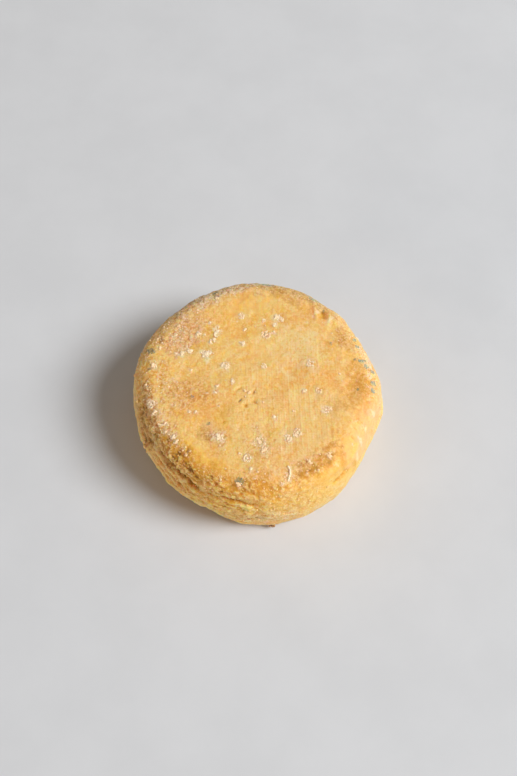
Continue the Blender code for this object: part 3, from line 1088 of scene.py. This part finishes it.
@dataclass(frozen=True)
class RindFinish:
    """Golden waxy rind, frosted with mould, with a cloth print, browned folds and some painted light and
    shade.
    """

    butter: Paint = tint(245, 201, 120)
    tan: Paint = tint(240, 182, 98)
    cream: Paint = tint(250, 216, 150)
    lemon: Paint = tint(250, 196, 78)
    frost: Paint = tint(253, 219, 158)
    rose: Paint = tint(250, 209, 164)
    rust: Paint = tint(208, 138, 66)
    ochre: Paint = tint(232, 161, 54)
    amber: Paint = tint(194, 130, 38)
    brown: Paint = tint(190, 134, 58)
    umber: Paint = tint(146, 108, 48)
    ivory: Paint = tint(255, 234, 200)
    honey: Paint = tint(222, 157, 46)
    peach: Paint = tint(236, 188, 128)
    olive: Paint = tint(142, 128, 90)
    teal: Paint = tint(190, 196, 160)
    thread_pitch: float = 0.62 * MM
    thread_lean: float = 0.035
    thread_wander: float = 0.6 * MM
    wander_noise: Noise = (4.0, 1.0)
    break_noise: Noise = (1.4, 3.0, 0.04)
    # Shares of the warp's threads, of its pairs of threads and of the weft
    thread_shares: tuple[float, ...] = (1.0, 0.8, 0.5)
    thread_breaks: Slope = (0.35, 0.65, 0.45, 1.0)
    thread_range: Slope = (-1.8, 1.8)
    tan_noise: Noise = (8.0, 3.0)
    tan_blots: Slope = (0.42, 0.66)
    cream_noise: Noise = (2.8, 4.0, 0.02)
    cream_blots: Slope = (0.48, 0.7, 0.0, 0.8)
    lemon_noise: Noise = (1.6, 4.0, 0.05)
    lemon_blots: Slope = (0.5, 0.7, 0.0, 0.7)
    print_ridges: Slope = (0.5, 1.0, 0.0, 0.6)
    print_grooves: Slope = (0.0, 0.5, 0.7, 0.0)
    yellowing_and_bounce_light: float = 0.7
    peachiness: float = 0.85
    fine_noise: Noise = (0.42, 3.0, 0.03)
    blot_noise: Noise = (1.2, 3.0, 0.06)
    fibre_noise: Noise = (1.1, 1.0, 0.09)
    grain_pitch: float = 0.55
    grain_edge: float = 0.8
    # Shares of fine noise, blots, grains' middles, crests and hollows; the hollows' share darkens sunk
    # places, partly as painted shade
    speckle_shares: tuple[float, ...] = (0.55, 0.3, 0.2, 0.12, -0.16)
    fibre_blots: Slope = (0.4, 0.55)
    fibre_half: Slope = (0.035, 0.0)
    fibre_cover: float = 0.6
    frost_gaps: Slope = (0.48, 0.37, 0.0, 0.9)
    frost_tips: Slope = (0.46, 0.58, 0.0, 0.9)
    rosy_veil: float = 0.4
    # The hollows darken to ochre, amber and umber: partly the paste's own colour, partly painted shade
    ochre_and_shade_in_hollows: Slope = (0.15, 1.0, 0.0, 0.8)
    amber_and_shade_in_hollows: Slope = (0.6, 1.0, 0.0, 0.5)
    umber_and_shade_in_hollows: Slope = (0.2, 1.0, 0.0, 0.8)
    brown_gaps: Slope = (0.4, 0.6, 0.85, 0.25)
    honey_gaps: Slope = (0.42, 0.6, 0.85, 0.3)
    ivory_tips: Slope = (0.35, 0.5)
    stain_specks: Slope = (0.7, 0.4, 0.45, 0.8)
    roughness: Slope = (0.3, 0.7, 0.54, 0.76)
    ior: float = 1.42
    # How proud print and fibres stand, and grains and powder where no frost lies
    print_height: float = 0.35
    fibre_height: float = 0.5
    bare_grains: float = 0.1
    bare_powder: float = 0.35
    glow: tuple[float, Triple, float] = (0.8, (1.0, 0.45, 0.12), 3.6 * MM)
    relief: Pair = (0.12 * MM, 0.9)

    def threads(self, paint: Palette) -> Socket:
        """Print the drain cloth's threads.

        Args:
            paint: The material that is being made.

        Returns:
            The print from 0 in its grooves to 1 on its ridges.
        """
        split = paint.fill(paint.node("SeparateXYZ"), {0: paint.place})
        across, along = split.outputs[0], split.outputs[1]
        wander = paint.times(paint.mottle(*self.wander_noise), self.thread_wander)
        warp = paint.plus(across, paint.times(along, self.thread_lean), wander)
        turn = math.tau / self.thread_pitch
        fine = paint.maths("SINE", paint.times(warp, turn))
        coarse = paint.maths("SINE", paint.times(warp, turn / 2))
        weft = paint.maths("SINE", paint.times(paint.plus(along, wander), turn))
        cloth = paint.weigh((fine, coarse, weft), self.thread_shares)
        broken = paint.masked(cloth, paint.mottle(*self.break_noise), self.thread_breaks)
        return paint.fit(broken, *self.thread_range)

    def ground(self, paint: Palette, printed: Socket, strand: Socket) -> Socket:
        """Colour the bare rind under the frost.

        Args:
            paint: The material that is being made.
            printed: The cloth print.
            strand: How strongly the print shows.

        Returns:
            The bare rind's colour.
        """
        return paint.coat(
            self.butter,
            (paint.blots(self.tan_noise, self.tan_blots), self.tan),
            (paint.blots(self.cream_noise, self.cream_blots), self.cream),
            (paint.blots(self.lemon_noise, self.lemon_blots), self.lemon),
            (paint.masked(strand, printed, self.print_ridges), self.cream),
            (paint.masked(strand, printed, self.print_grooves), self.tan),
            # The yellow and peach covers also brighten the shaded left edge: painted bounce light
            (paint.times(paint.attribute("yellow"), self.yellowing_and_bounce_light), self.lemon),
            (paint.times(paint.attribute("peach"), self.peachiness), self.peach),
        )

    def make(self) -> bpy.types.Material:
        """Make the material.

        Returns:
            The rind's material, which reads the stains that the mesh carries.
        """
        paint = Palette("rind")
        times, masked = paint.times, paint.masked
        printed, strand = self.threads(paint), paint.attribute("print")
        names = ("frost", "rosy", "brown", "honey", "hollow", "crest")
        frost, rosy, brown, honey, hollow, crest = (paint.attribute(name) for name in names)
        fine, blots = paint.mottle(*self.fine_noise), paint.mottle(*self.blot_noise)
        grain = paint.grains(self.grain_pitch)
        strands = paint.maths("SUBTRACT", paint.mottle(*self.fibre_noise), 0.5)
        strands = paint.maths("ABSOLUTE", strands)
        fibres = masked(paint.fit(strands, *self.fibre_half), blots, self.fibre_blots)
        webbed = times(fibres, paint.maths("MAXIMUM", frost, brown))
        middles = paint.maths("SUBTRACT", self.grain_edge, grain)
        speckle = paint.weigh((fine, blots, middles, crest, hollow), self.speckle_shares)
        tips = paint.mix(rosy, self.frost, self.rose)
        colour = paint.coat(
            self.ground(paint, printed, strand),
            (masked(frost, speckle, self.frost_gaps), paint.mix(rosy, self.ochre, self.rust)),
            (times(frost, times(rosy, self.rosy_veil)), paint.mix(0.5, self.rose, self.rust)),
            (masked(frost, speckle, self.frost_tips), tips),
            # Hollows darkened to ochre and amber: partly the paste's own colour, partly painted shade
            (paint.fit(hollow, *self.ochre_and_shade_in_hollows), self.ochre),
            (paint.fit(hollow, *self.amber_and_shade_in_hollows), self.amber),
            # The brown cover is partly painted shade on the shaded walls, the back-left shoulder and the
            # front fold
            (masked(brown, speckle, self.brown_gaps), self.brown),
            (masked(honey, speckle, self.honey_gaps), self.honey),
            # Umber in the hollows of the brown cover: partly painted shade
            (masked(brown, hollow, self.umber_and_shade_in_hollows), self.umber),
            (times(webbed, self.fibre_cover), tips),
            # The white cover is pale mould, and on the right wall partly a painted highlight
            (masked(paint.attribute("white"), speckle, self.ivory_tips), self.ivory),
            (masked(paint.attribute("olive"), fine, self.stain_specks), self.olive),
            (masked(paint.attribute("teal"), fine, self.stain_specks), self.teal),
        )
        rough = paint.fit(fine, *self.roughness)
        paint.fill(paint.shader, {"Base Color": colour, "Roughness": rough, "IOR": self.ior})
        paint.glow(*self.glow)
        heights = (
            times(strand, times(printed, self.print_height)),
            times(paint.maths("SUBTRACT", 1.0, grain), paint.plus(frost, self.bare_grains)),
            times(fine, paint.plus(frost, self.bare_powder)),
            times(webbed, self.fibre_height),
        )
        paint.bump(paint.plus(*heights), *self.relief)
        return paint.material


@dataclass(frozen=True)
class MouldFinish:
    """Matt mould, paler on some grains than on others."""

    name: str
    pale: Paint
    dark: Paint
    dirty: Paint = tint(138, 104, 74)
    dirtying: Slope = (0.0, -1.0)
    speck_noise: Noise = (0.25, 2.0)
    speck_darkness: Slope = (0.55, 0.35, 0.0, 0.35)
    roughness: Slope = (0.3, 0.7, 0.48, 0.6)
    glow_weight: float = 0.2
    glow_radius: Triple = (1.0, 0.7, 0.45)
    glow_scale: float = 0.5 * MM
    relief: Pair = (0.05 * MM, 0.6)

    def make(self) -> bpy.types.Material:
        """Make the material.

        Returns:
            The mould's material, which reads each grain's own tone.
        """
        paint = Palette(self.name)
        tone, speck = paint.attribute("tone"), paint.mottle(*self.speck_noise)
        colour = paint.coat(
            self.dark,
            (tone, self.pale),
            (paint.fit(tone, *self.dirtying), self.dirty),
            (paint.fit(speck, *self.speck_darkness), self.dark),
        )
        paint.fill(paint.shader, {"Base Color": colour, "Roughness": paint.fit(speck, *self.roughness)})
        paint.glow(self.glow_weight, self.glow_radius, self.glow_scale)
        paint.bump(speck, *self.relief)
        return paint.material


def show(piece: Object, material: bpy.types.Material, slot: str) -> Object:
    """Give a piece its material, its smooth shading and its body.

    Args:
        piece: The piece.
        material: What it is made of.
        slot: Not used.

    Returns:
        The piece.
    """
    piece.data.materials.append(material)
    piece.data.shade_smooth()
    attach(piece, BODY)
    return piece


def carry(mesh: bpy.types.Mesh, name: str, values: Array) -> None:
    """Store one number for each of a mesh's vertices, under a name."""
    store = mesh.attributes.new(name, "FLOAT", "POINT")
    store.data.foreach_set("value", np.asarray(values, dtype=np.float32))


@dataclass
class Rind:
    """The whole skin of the round, in one closed piece."""

    skin: Skin
    finish: RindFinish = RindFinish()
    cuts: int = 124
    near_rounds: int = 5
    broad_rounds: int = 30
    near_depth: float = 0.19 * MM
    broad_depth: float = 0.55 * MM
    near_share: float = 0.5
    pace: float = 0.5

    def ball(self) -> tuple[bpy.types.Mesh, Array]:
        """Grow an even ball of squares.

        Returns:
            Its mesh, still a cube, and the unit vectors of the ball's vertices.
        """
        form = bmesh.new()
        bmesh.ops.create_cube(form, size=2.0)
        bmesh.ops.subdivide_edges(form, edges=form.edges[:], cuts=self.cuts, use_grid_fill=True)
        mesh = mesh_of(form, "rind")
        flat = np.empty(len(mesh.vertices) * 3)
        mesh.vertices.foreach_get("co", flat)
        ball = np.tan(flat.reshape(-1, 3) * math.pi / 4)
        return mesh, ball / np.linalg.norm(ball, axis=1)[:, None]

    def proud(self, mesh: bpy.types.Mesh, relief: Array) -> Array:
        """Compare each place's relief with that close around it and that further off, for the hollows'
        darker colour, partly painted shade.

        Args:
            mesh: The rind's mesh, for its edges.
            relief: Heights at its vertices.

        Returns:
            About 1 on the crests, about -1 in the hollows.
        """
        ends = np.empty(len(mesh.edges) * 2, dtype=np.int32)
        mesh.edges.foreach_get("vertices", ends)
        first, second = ends.reshape(-1, 2).T
        count = len(relief)
        degree = np.bincount(first, minlength=count) + np.bincount(second, minlength=count)
        around = relief.copy()
        stands = np.zeros(count)
        for done in range(1, self.broad_rounds + 1):
            total = np.bincount(first, around[second], count) + np.bincount(second, around[first], count)
            around = (1.0 - self.pace) * around + self.pace * total / degree
            if done == self.near_rounds:
                stands += self.near_share * np.clip((relief - around) / self.near_depth, -1.0, 1.0)
        return stands + np.clip((relief - around) / self.broad_depth, -1.0, 1.0)

    def build(self) -> Object:
        """Lay the ball over the dried round and stain it.

        Returns:
            The rind.
        """
        mesh, ball = self.ball()
        site = ROUND.under_ball(ball)
        relief = self.skin.relief(site)
        mesh.vertices.foreach_set("co", self.skin.points(site, relief).ravel())
        mesh.update()
        proud = self.proud(mesh, relief)
        frost = np.clip(self.skin.frost(site), 0.0, 1.0)
        prints = np.maximum(cover(PRINTED, site), PRINT_ELSEWHERE)
        prints = (1.0 - ramp(*SHOULDER_BAND, site.reach)) * prints * (1.0 - FROST_OVER_PRINT * frost)
        numbers = {"print": prints, "frost": frost}
        numbers |= {name: cover(patches, site) for name, patches in STAINS_AND_PAINTED_LIGHT.items()}
        # The material darkens the hollows: partly the paste's own colour, partly painted shade
        numbers |= {"hollow": np.clip(-proud, 0.0, 1.0), "crest": np.clip(proud, 0.0, 1.0)}
        for name, values in numbers.items():
            carry(mesh, name, values)
        return set_out("rind", mesh)

    def dress(self) -> Object:
        """Build the rind and put it in the place of the plain solid.

        Returns:
            The rind.
        """
        piece = show(self.build(), self.finish.make(), "rind")
        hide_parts(NODE)
        return piece


@dataclass
class GrainBed:
    """Many small blobs, joined in one piece."""

    name: str
    skin: Skin
    finish: MouldFinish
    slot: str
    level: int = 1
    squash: float = 0.75
    uneven: float = 0.22
    batch: int = 150

    def some(self, grains: list[Grain], stands: tuple[Array, Array], draw: random.Random) -> bpy.types.Mesh:
        """Make some of the blobs.

        Args:
            grains: The blobs.
            stands: Where and which way each stands.
            draw: Source of chance.

        Returns:
            One mesh of them all.
        """
        form = bmesh.new()
        tone = form.verts.layers.float.new("tone")
        for grain, point, normal in zip(grains, *stands):
            radius = grain.width * MM / 2
            upright = Vector((0.0, 0.0, 1.0)).rotation_difference(Vector(normal)).to_matrix()
            spin = Matrix.Rotation(draw.uniform(0.0, math.tau), 3, "Z")
            middle = Vector(point) + Vector(normal) * grain.lift * MM
            ball = bmesh.ops.create_icosphere(form, subdivisions=self.level, radius=radius)["verts"]
            for vertex in ball:
                vertex.co *= draw.uniform(1.0 - self.uneven, 1.0 + self.uneven)
                vertex.co.z *= self.squash
                vertex.co = upright @ (spin @ vertex.co) + middle
                vertex[tone] = grain.tone
        return mesh_of(form, self.name)

    def build(self, grains: list[Grain], draw: random.Random) -> Object:
        """Stand all blobs on the rind, batch by batch.

        Args:
            grains: The blobs.
            draw: Source of chance.

        Returns:
            The piece, without its finish.
        """
        points, normals = self.skin.perch([g.azimuth for g in grains], [g.reach for g in grains])
        whole = bmesh.new()
        for start in range(0, len(grains), self.batch):
            part = slice(start, start + self.batch)
            mesh = self.some(grains[part], (points[part], normals[part]), draw)
            whole.from_mesh(mesh)
            bpy.data.meshes.remove(mesh)
        return set_out(self.name, mesh_of(whole, self.name))

    def dress(self, grains: list[Grain], draw: random.Random) -> Object:
        """Build the bed of blobs, by a source of chance, and give it its finish."""
        return show(self.build(grains, draw), self.finish.make(), self.slot)


@dataclass
class WhiteMould:
    """Warty tufts on the upper face and shoulder, and a thin bloom of grains."""

    skin: Skin
    seed: int = 7
    far_tufts: int = 16
    far_azimuth: Pair = (0.0, 165.0)
    far_reach: Pair = (31.0, 42.0)
    far_width: Pair = (1.1, 2.2)
    tuft_level: int = 2
    bloom_grains: int = 3200
    tries: int = 8
    bloom_reach: float = 32.0
    bloom_width: Pair = (0.34, 0.78)
    bloom_lift: Pair = (-0.33, -0.15)
    bloom_tone: Pair = (0.5, 0.95)
    thinning: int = 4
    clear_of_crumble: float = 0.85
    finish: MouldFinish = MouldFinish(
        "white_mould", tint(255, 236, 202), tint(252, 206, 146), glow_weight=0.0
    )
    bloom_finish: MouldFinish = MouldFinish("pink_bloom", tint(255, 224, 180), tint(242, 190, 128))

    def tufts(self) -> Object:
        """Grow the tufts that stand out one by one.

        Returns:
            The tufts.
        """
        draw = random.Random(self.seed)
        grown = [grain for tuft in TUFTS for grain in tuft.grains(draw)]
        for _ in range(self.far_tufts):
            place = (draw.uniform(*self.far_azimuth), draw.uniform(*self.far_reach))
            grown += Tuft(*place, draw.uniform(*self.far_width), Habit.CLUMP).grains(draw)
        bed = GrainBed("mould_tufts", self.skin, self.finish, "white_mould", self.tuft_level)
        return bed.dress(grown, draw)

    def bloom(self) -> Object:
        """Dust the granular patches with small grains.

        Returns:
            The bloom.
        """
        draw = random.Random(self.seed + 1)
        tries = self.tries * self.bloom_grains
        azimuth, chance = throw(draw, tries, -180.0, 180.0), throw(draw, tries)
        reach = self.bloom_reach * np.sqrt(throw(draw, tries))
        site = ROUND.at(azimuth, reach * MM)
        share = self.skin.frost(site) ** self.thinning
        share = share * (1.0 - self.clear_of_crumble * cover(SHOULDER_CRUMBLE, site, clean=True))
        share = np.maximum(share, cover(BACK_LEFT, site, clean=True))
        ranges = (self.bloom_width, self.bloom_lift, self.bloom_tone)
        kept = np.flatnonzero(share > chance)[: self.bloom_grains]
        grains = [Grain(azimuth[i], reach[i], *(draw.uniform(*limits) for limits in ranges)) for i in kept]
        return GrainBed("mould_bloom", self.skin, self.bloom_finish, "white_mould").dress(grains, draw)


@dataclass
class Crumbs:
    """Dried crumbs that cling to the wall and the shoulder."""

    skin: Skin
    seed: int = 91
    count: int = 2400
    tries: int = 4
    reach: Pair = (26.0, 48.0)
    least_width: float = 0.3
    more_width: float = 0.55
    small_bias: int = 3
    deepest: float = -0.36
    # The least sunk, on rough places and elsewhere
    proudest: Pair = (0.05, -0.16)
    rough_from: float = 0.5
    tone: Pair = (0.3, 1.0)
    clear_of_crumble: float = 0.9
    finish: MouldFinish = MouldFinish("crumbs", tint(253, 218, 156), tint(242, 180, 92))
    large: tuple[Grain, ...] = (
        Grain(-152.5, 36.2, 1.3, 0.1, 0.5),
        Grain(-150.5, 37.0, 0.9, 0.1, 0.3),
        Grain(-83.2, 47.6, 1.3, 0.35, -1.0),
        Grain(-84.6, 47.4, 0.7, 0.3, -0.8),
        Grain(-82.4, 47.2, 0.6, 0.2, -0.5),
        Grain(172.0, 34.0, 0.9, 0.1, 0.5),
        Grain(-171.0, 31.0, 0.8, 0.1, 0.6),
    )

    def dress(self) -> Object:
        """Scatter the crumbs, mostly small ones, prouder on the rough front wall.

        Returns:
            The crumbs.
        """
        draw = random.Random(self.seed)
        tries = self.tries * self.count
        azimuth, reach = throw(draw, tries, -180.0, 180.0), throw(draw, tries, *self.reach)
        chance = throw(draw, tries)
        site = ROUND.at(azimuth, reach * MM)
        share = self.skin.frost(site)
        share = share * (1.0 - self.clear_of_crumble * cover(SHOULDER_CRUMBLE, site, clean=True))
        rough = cover(LOW_FOLDS + FRONT_WALL, site, clean=True) > self.rough_from
        grains = list(self.large)
        for i in np.flatnonzero(share > chance)[: self.count]:
            width = self.least_width + self.more_width * draw.random() ** self.small_bias
            sunk = draw.uniform(self.deepest, self.proudest[0 if rough[i] else 1])
            grains.append(Grain(azimuth[i], reach[i], width, sunk * width, draw.uniform(*self.tone)))
        return GrainBed("crumbs", self.skin, self.finish, "rind").dress(grains, draw)


@dataclass
class BlueMould:
    """Small velvety spots of grey-green mould."""

    skin: Skin
    seed: int = 23
    grains_per_mm2: float = 8.0
    fewest: int = 3
    width: Pair = (0.18, 0.38)
    olive_tone: Pair = (0.0, 0.45)
    teal_tone: Pair = (0.5, 1.1)
    finish: MouldFinish = MouldFinish("blue_mould", tint(176, 194, 170), tint(148, 138, 104))

    def grow(self, spot: Patch, tone: Pair, draw: random.Random) -> list[Grain]:
        """Scatter fine grains over one spot.

        Args:
            spot: The spot.
            tone: Limits of the grains' tone.
            draw: Source of chance.

        Returns:
            The grains.
        """
        grains = []
        area = math.pi * spot.across * spot.down
        span = min(spot.reach, SPAN_LIMITS[1])
        for _ in range(max(self.fewest, round(area * self.grains_per_mm2 * spot.strength))):
            turn, out = draw.uniform(0.0, math.tau), math.sqrt(draw.random())
            azimuth = spot.azimuth + math.degrees(out * math.cos(turn) * spot.across / span)
            reach = spot.reach + out * math.sin(turn) * spot.down
            grains.append(Grain(azimuth, reach, draw.uniform(*self.width), 0.0, draw.uniform(*tone)))
        return grains

    def dress(self) -> Object:
        """Grow all spots.

        Returns:
            The blue mould.
        """
        draw = random.Random(self.seed)
        kinds = ((OLIVE_SPOTS, self.olive_tone), (TEAL_SPOTS, self.teal_tone))
        grains = [grain for spots, tone in kinds for spot in spots for grain in self.grow(spot, tone, draw)]
        return GrainBed("blue_mould", self.skin, self.finish, "blue_mould").dress(grains, draw)


@dataclass(frozen=True)
class Lamp:
    """A round soft lamp that faces the round, with angles in degrees."""

    name: str
    azimuth: float
    height: float
    distance: float
    size: float
    power: float
    colour: Triple

    def hang(self) -> Object:
        """Hang the lamp.

        Returns:
            The lamp.
        """
        lamp = bpy.data.lights.new(self.name, "AREA")
        lamp.shape = "DISK"
        lamp.size = self.size
        lamp.energy = self.power
        lamp.color = self.colour
        turn, rise = math.radians(self.azimuth), math.radians(self.height)
        away = Vector((math.cos(turn) * math.cos(rise), math.sin(turn) * math.cos(rise), math.sin(rise)))
        piece = set_out(self.name, lamp)
        piece.location = away * self.distance
        piece.rotation_euler = away.to_track_quat("Z", "Y").to_euler()
        return piece


@dataclass
class Studio:
    """A pale floor, soft light and the camera that looks down on the round."""

    floor_half: float = 1.5
    floor_drop: float = 0.1 * MM
    floor_colour: Paint = tint(214, 215, 217)
    floor_blots: Paint = tint(210, 211, 213)
    floor_noise: Noise = (26.0, 4.0)
    floor_slope: Slope = (0.3, 0.7)
    floor_roughness: float = 0.9
    floor_shine: float = 0.15
    lamps: tuple[Lamp, ...] = (
        Lamp("key_light", -15.0, 45.0, 2.3, 1.22, 58.5, (0.96, 0.98, 1.0)),
        Lamp("fill_light", -134.0, 7.0, 3.0, 1.15, 20.5, (1.0, 0.86, 0.72)),
    )
    surround_colour: Paint = (1.0, 0.92, 0.84, 1.0)
    surround_strength: float = 0.225
    camera_height: float = 61.0
    camera_distance: float = 0.269
    camera_pitch: float = 60.37
    camera_turn: float = 0.06
    lens: float = 50.0
    film_height: float = 36.0

    def floor(self) -> Object:
        """Lay the floor just under the base.

        Returns:
            The floor.
        """
        form = bmesh.new()
        bmesh.ops.create_grid(form, x_segments=1, y_segments=1, size=self.floor_half)
        bmesh.ops.translate(form, verts=form.verts[:], vec=(0.0, 0.0, -self.floor_drop))
        piece = set_out("floor", mesh_of(form, "floor"))
        paint = Palette("pale_paper")
        blots = paint.blots(self.floor_noise, self.floor_slope)
        colour = paint.mix(blots, self.floor_colour, self.floor_blots)
        matt = {"Roughness": self.floor_roughness, "Specular IOR Level": self.floor_shine}
        paint.fill(paint.shader, {"Base Color": colour, **matt})
        piece.data.materials.append(paint.material)
        return piece

    def surround(self) -> None:
        """Let a little light come from all around."""
        world = bpy.data.worlds.new("surround")
        world.use_nodes = True
        back = world.node_tree.nodes["Background"]
        back.inputs["Color"].default_value = self.surround_colour
        back.inputs["Strength"].default_value = self.surround_strength
        bpy.context.scene.world = world

    def camera(self) -> Object:
        """Stand the camera in front, looking down.

        Returns:
            The camera.
        """
        eye = bpy.data.cameras.new("camera")
        eye.lens = self.lens
        eye.sensor_fit = "VERTICAL"
        eye.sensor_height = self.film_height
        rise = math.radians(self.camera_height)
        away = Vector((0.0, -math.cos(rise), math.sin(rise))) * self.camera_distance
        piece = set_out("camera", eye)
        piece.location = Vector((0.0, 0.0, ROUND.height / 2)) + away
        tilt = math.radians(90.0 - self.camera_pitch)
        piece.rotation_euler = (tilt, 0.0, -math.radians(self.camera_turn))
        bpy.context.scene.camera = piece
        return piece

    def set_up(self) -> None:
        """Make the floor, the light and the camera."""
        self.floor()
        for lamp in self.lamps:
            lamp.hang()
        self.surround()
        self.camera()
        bpy.context.scene.view_settings.view_transform = "Standard"


def main() -> None:
    """Dress the round, report it piece by piece, and set up what surrounds it."""
    logging.basicConfig(level=logging.INFO, format="%(message)s")
    skin = Skin()
    white = WhiteMould(skin)
    for dress in (Rind(skin).dress, white.tufts, white.bloom, Crumbs(skin).dress, BlueMould(skin).dress):
        piece = dress()
        LOG.info("%s: %d faces", piece.name, len(piece.data.polygons))
    Studio().set_up()


if __name__ == "__main__":
    main()
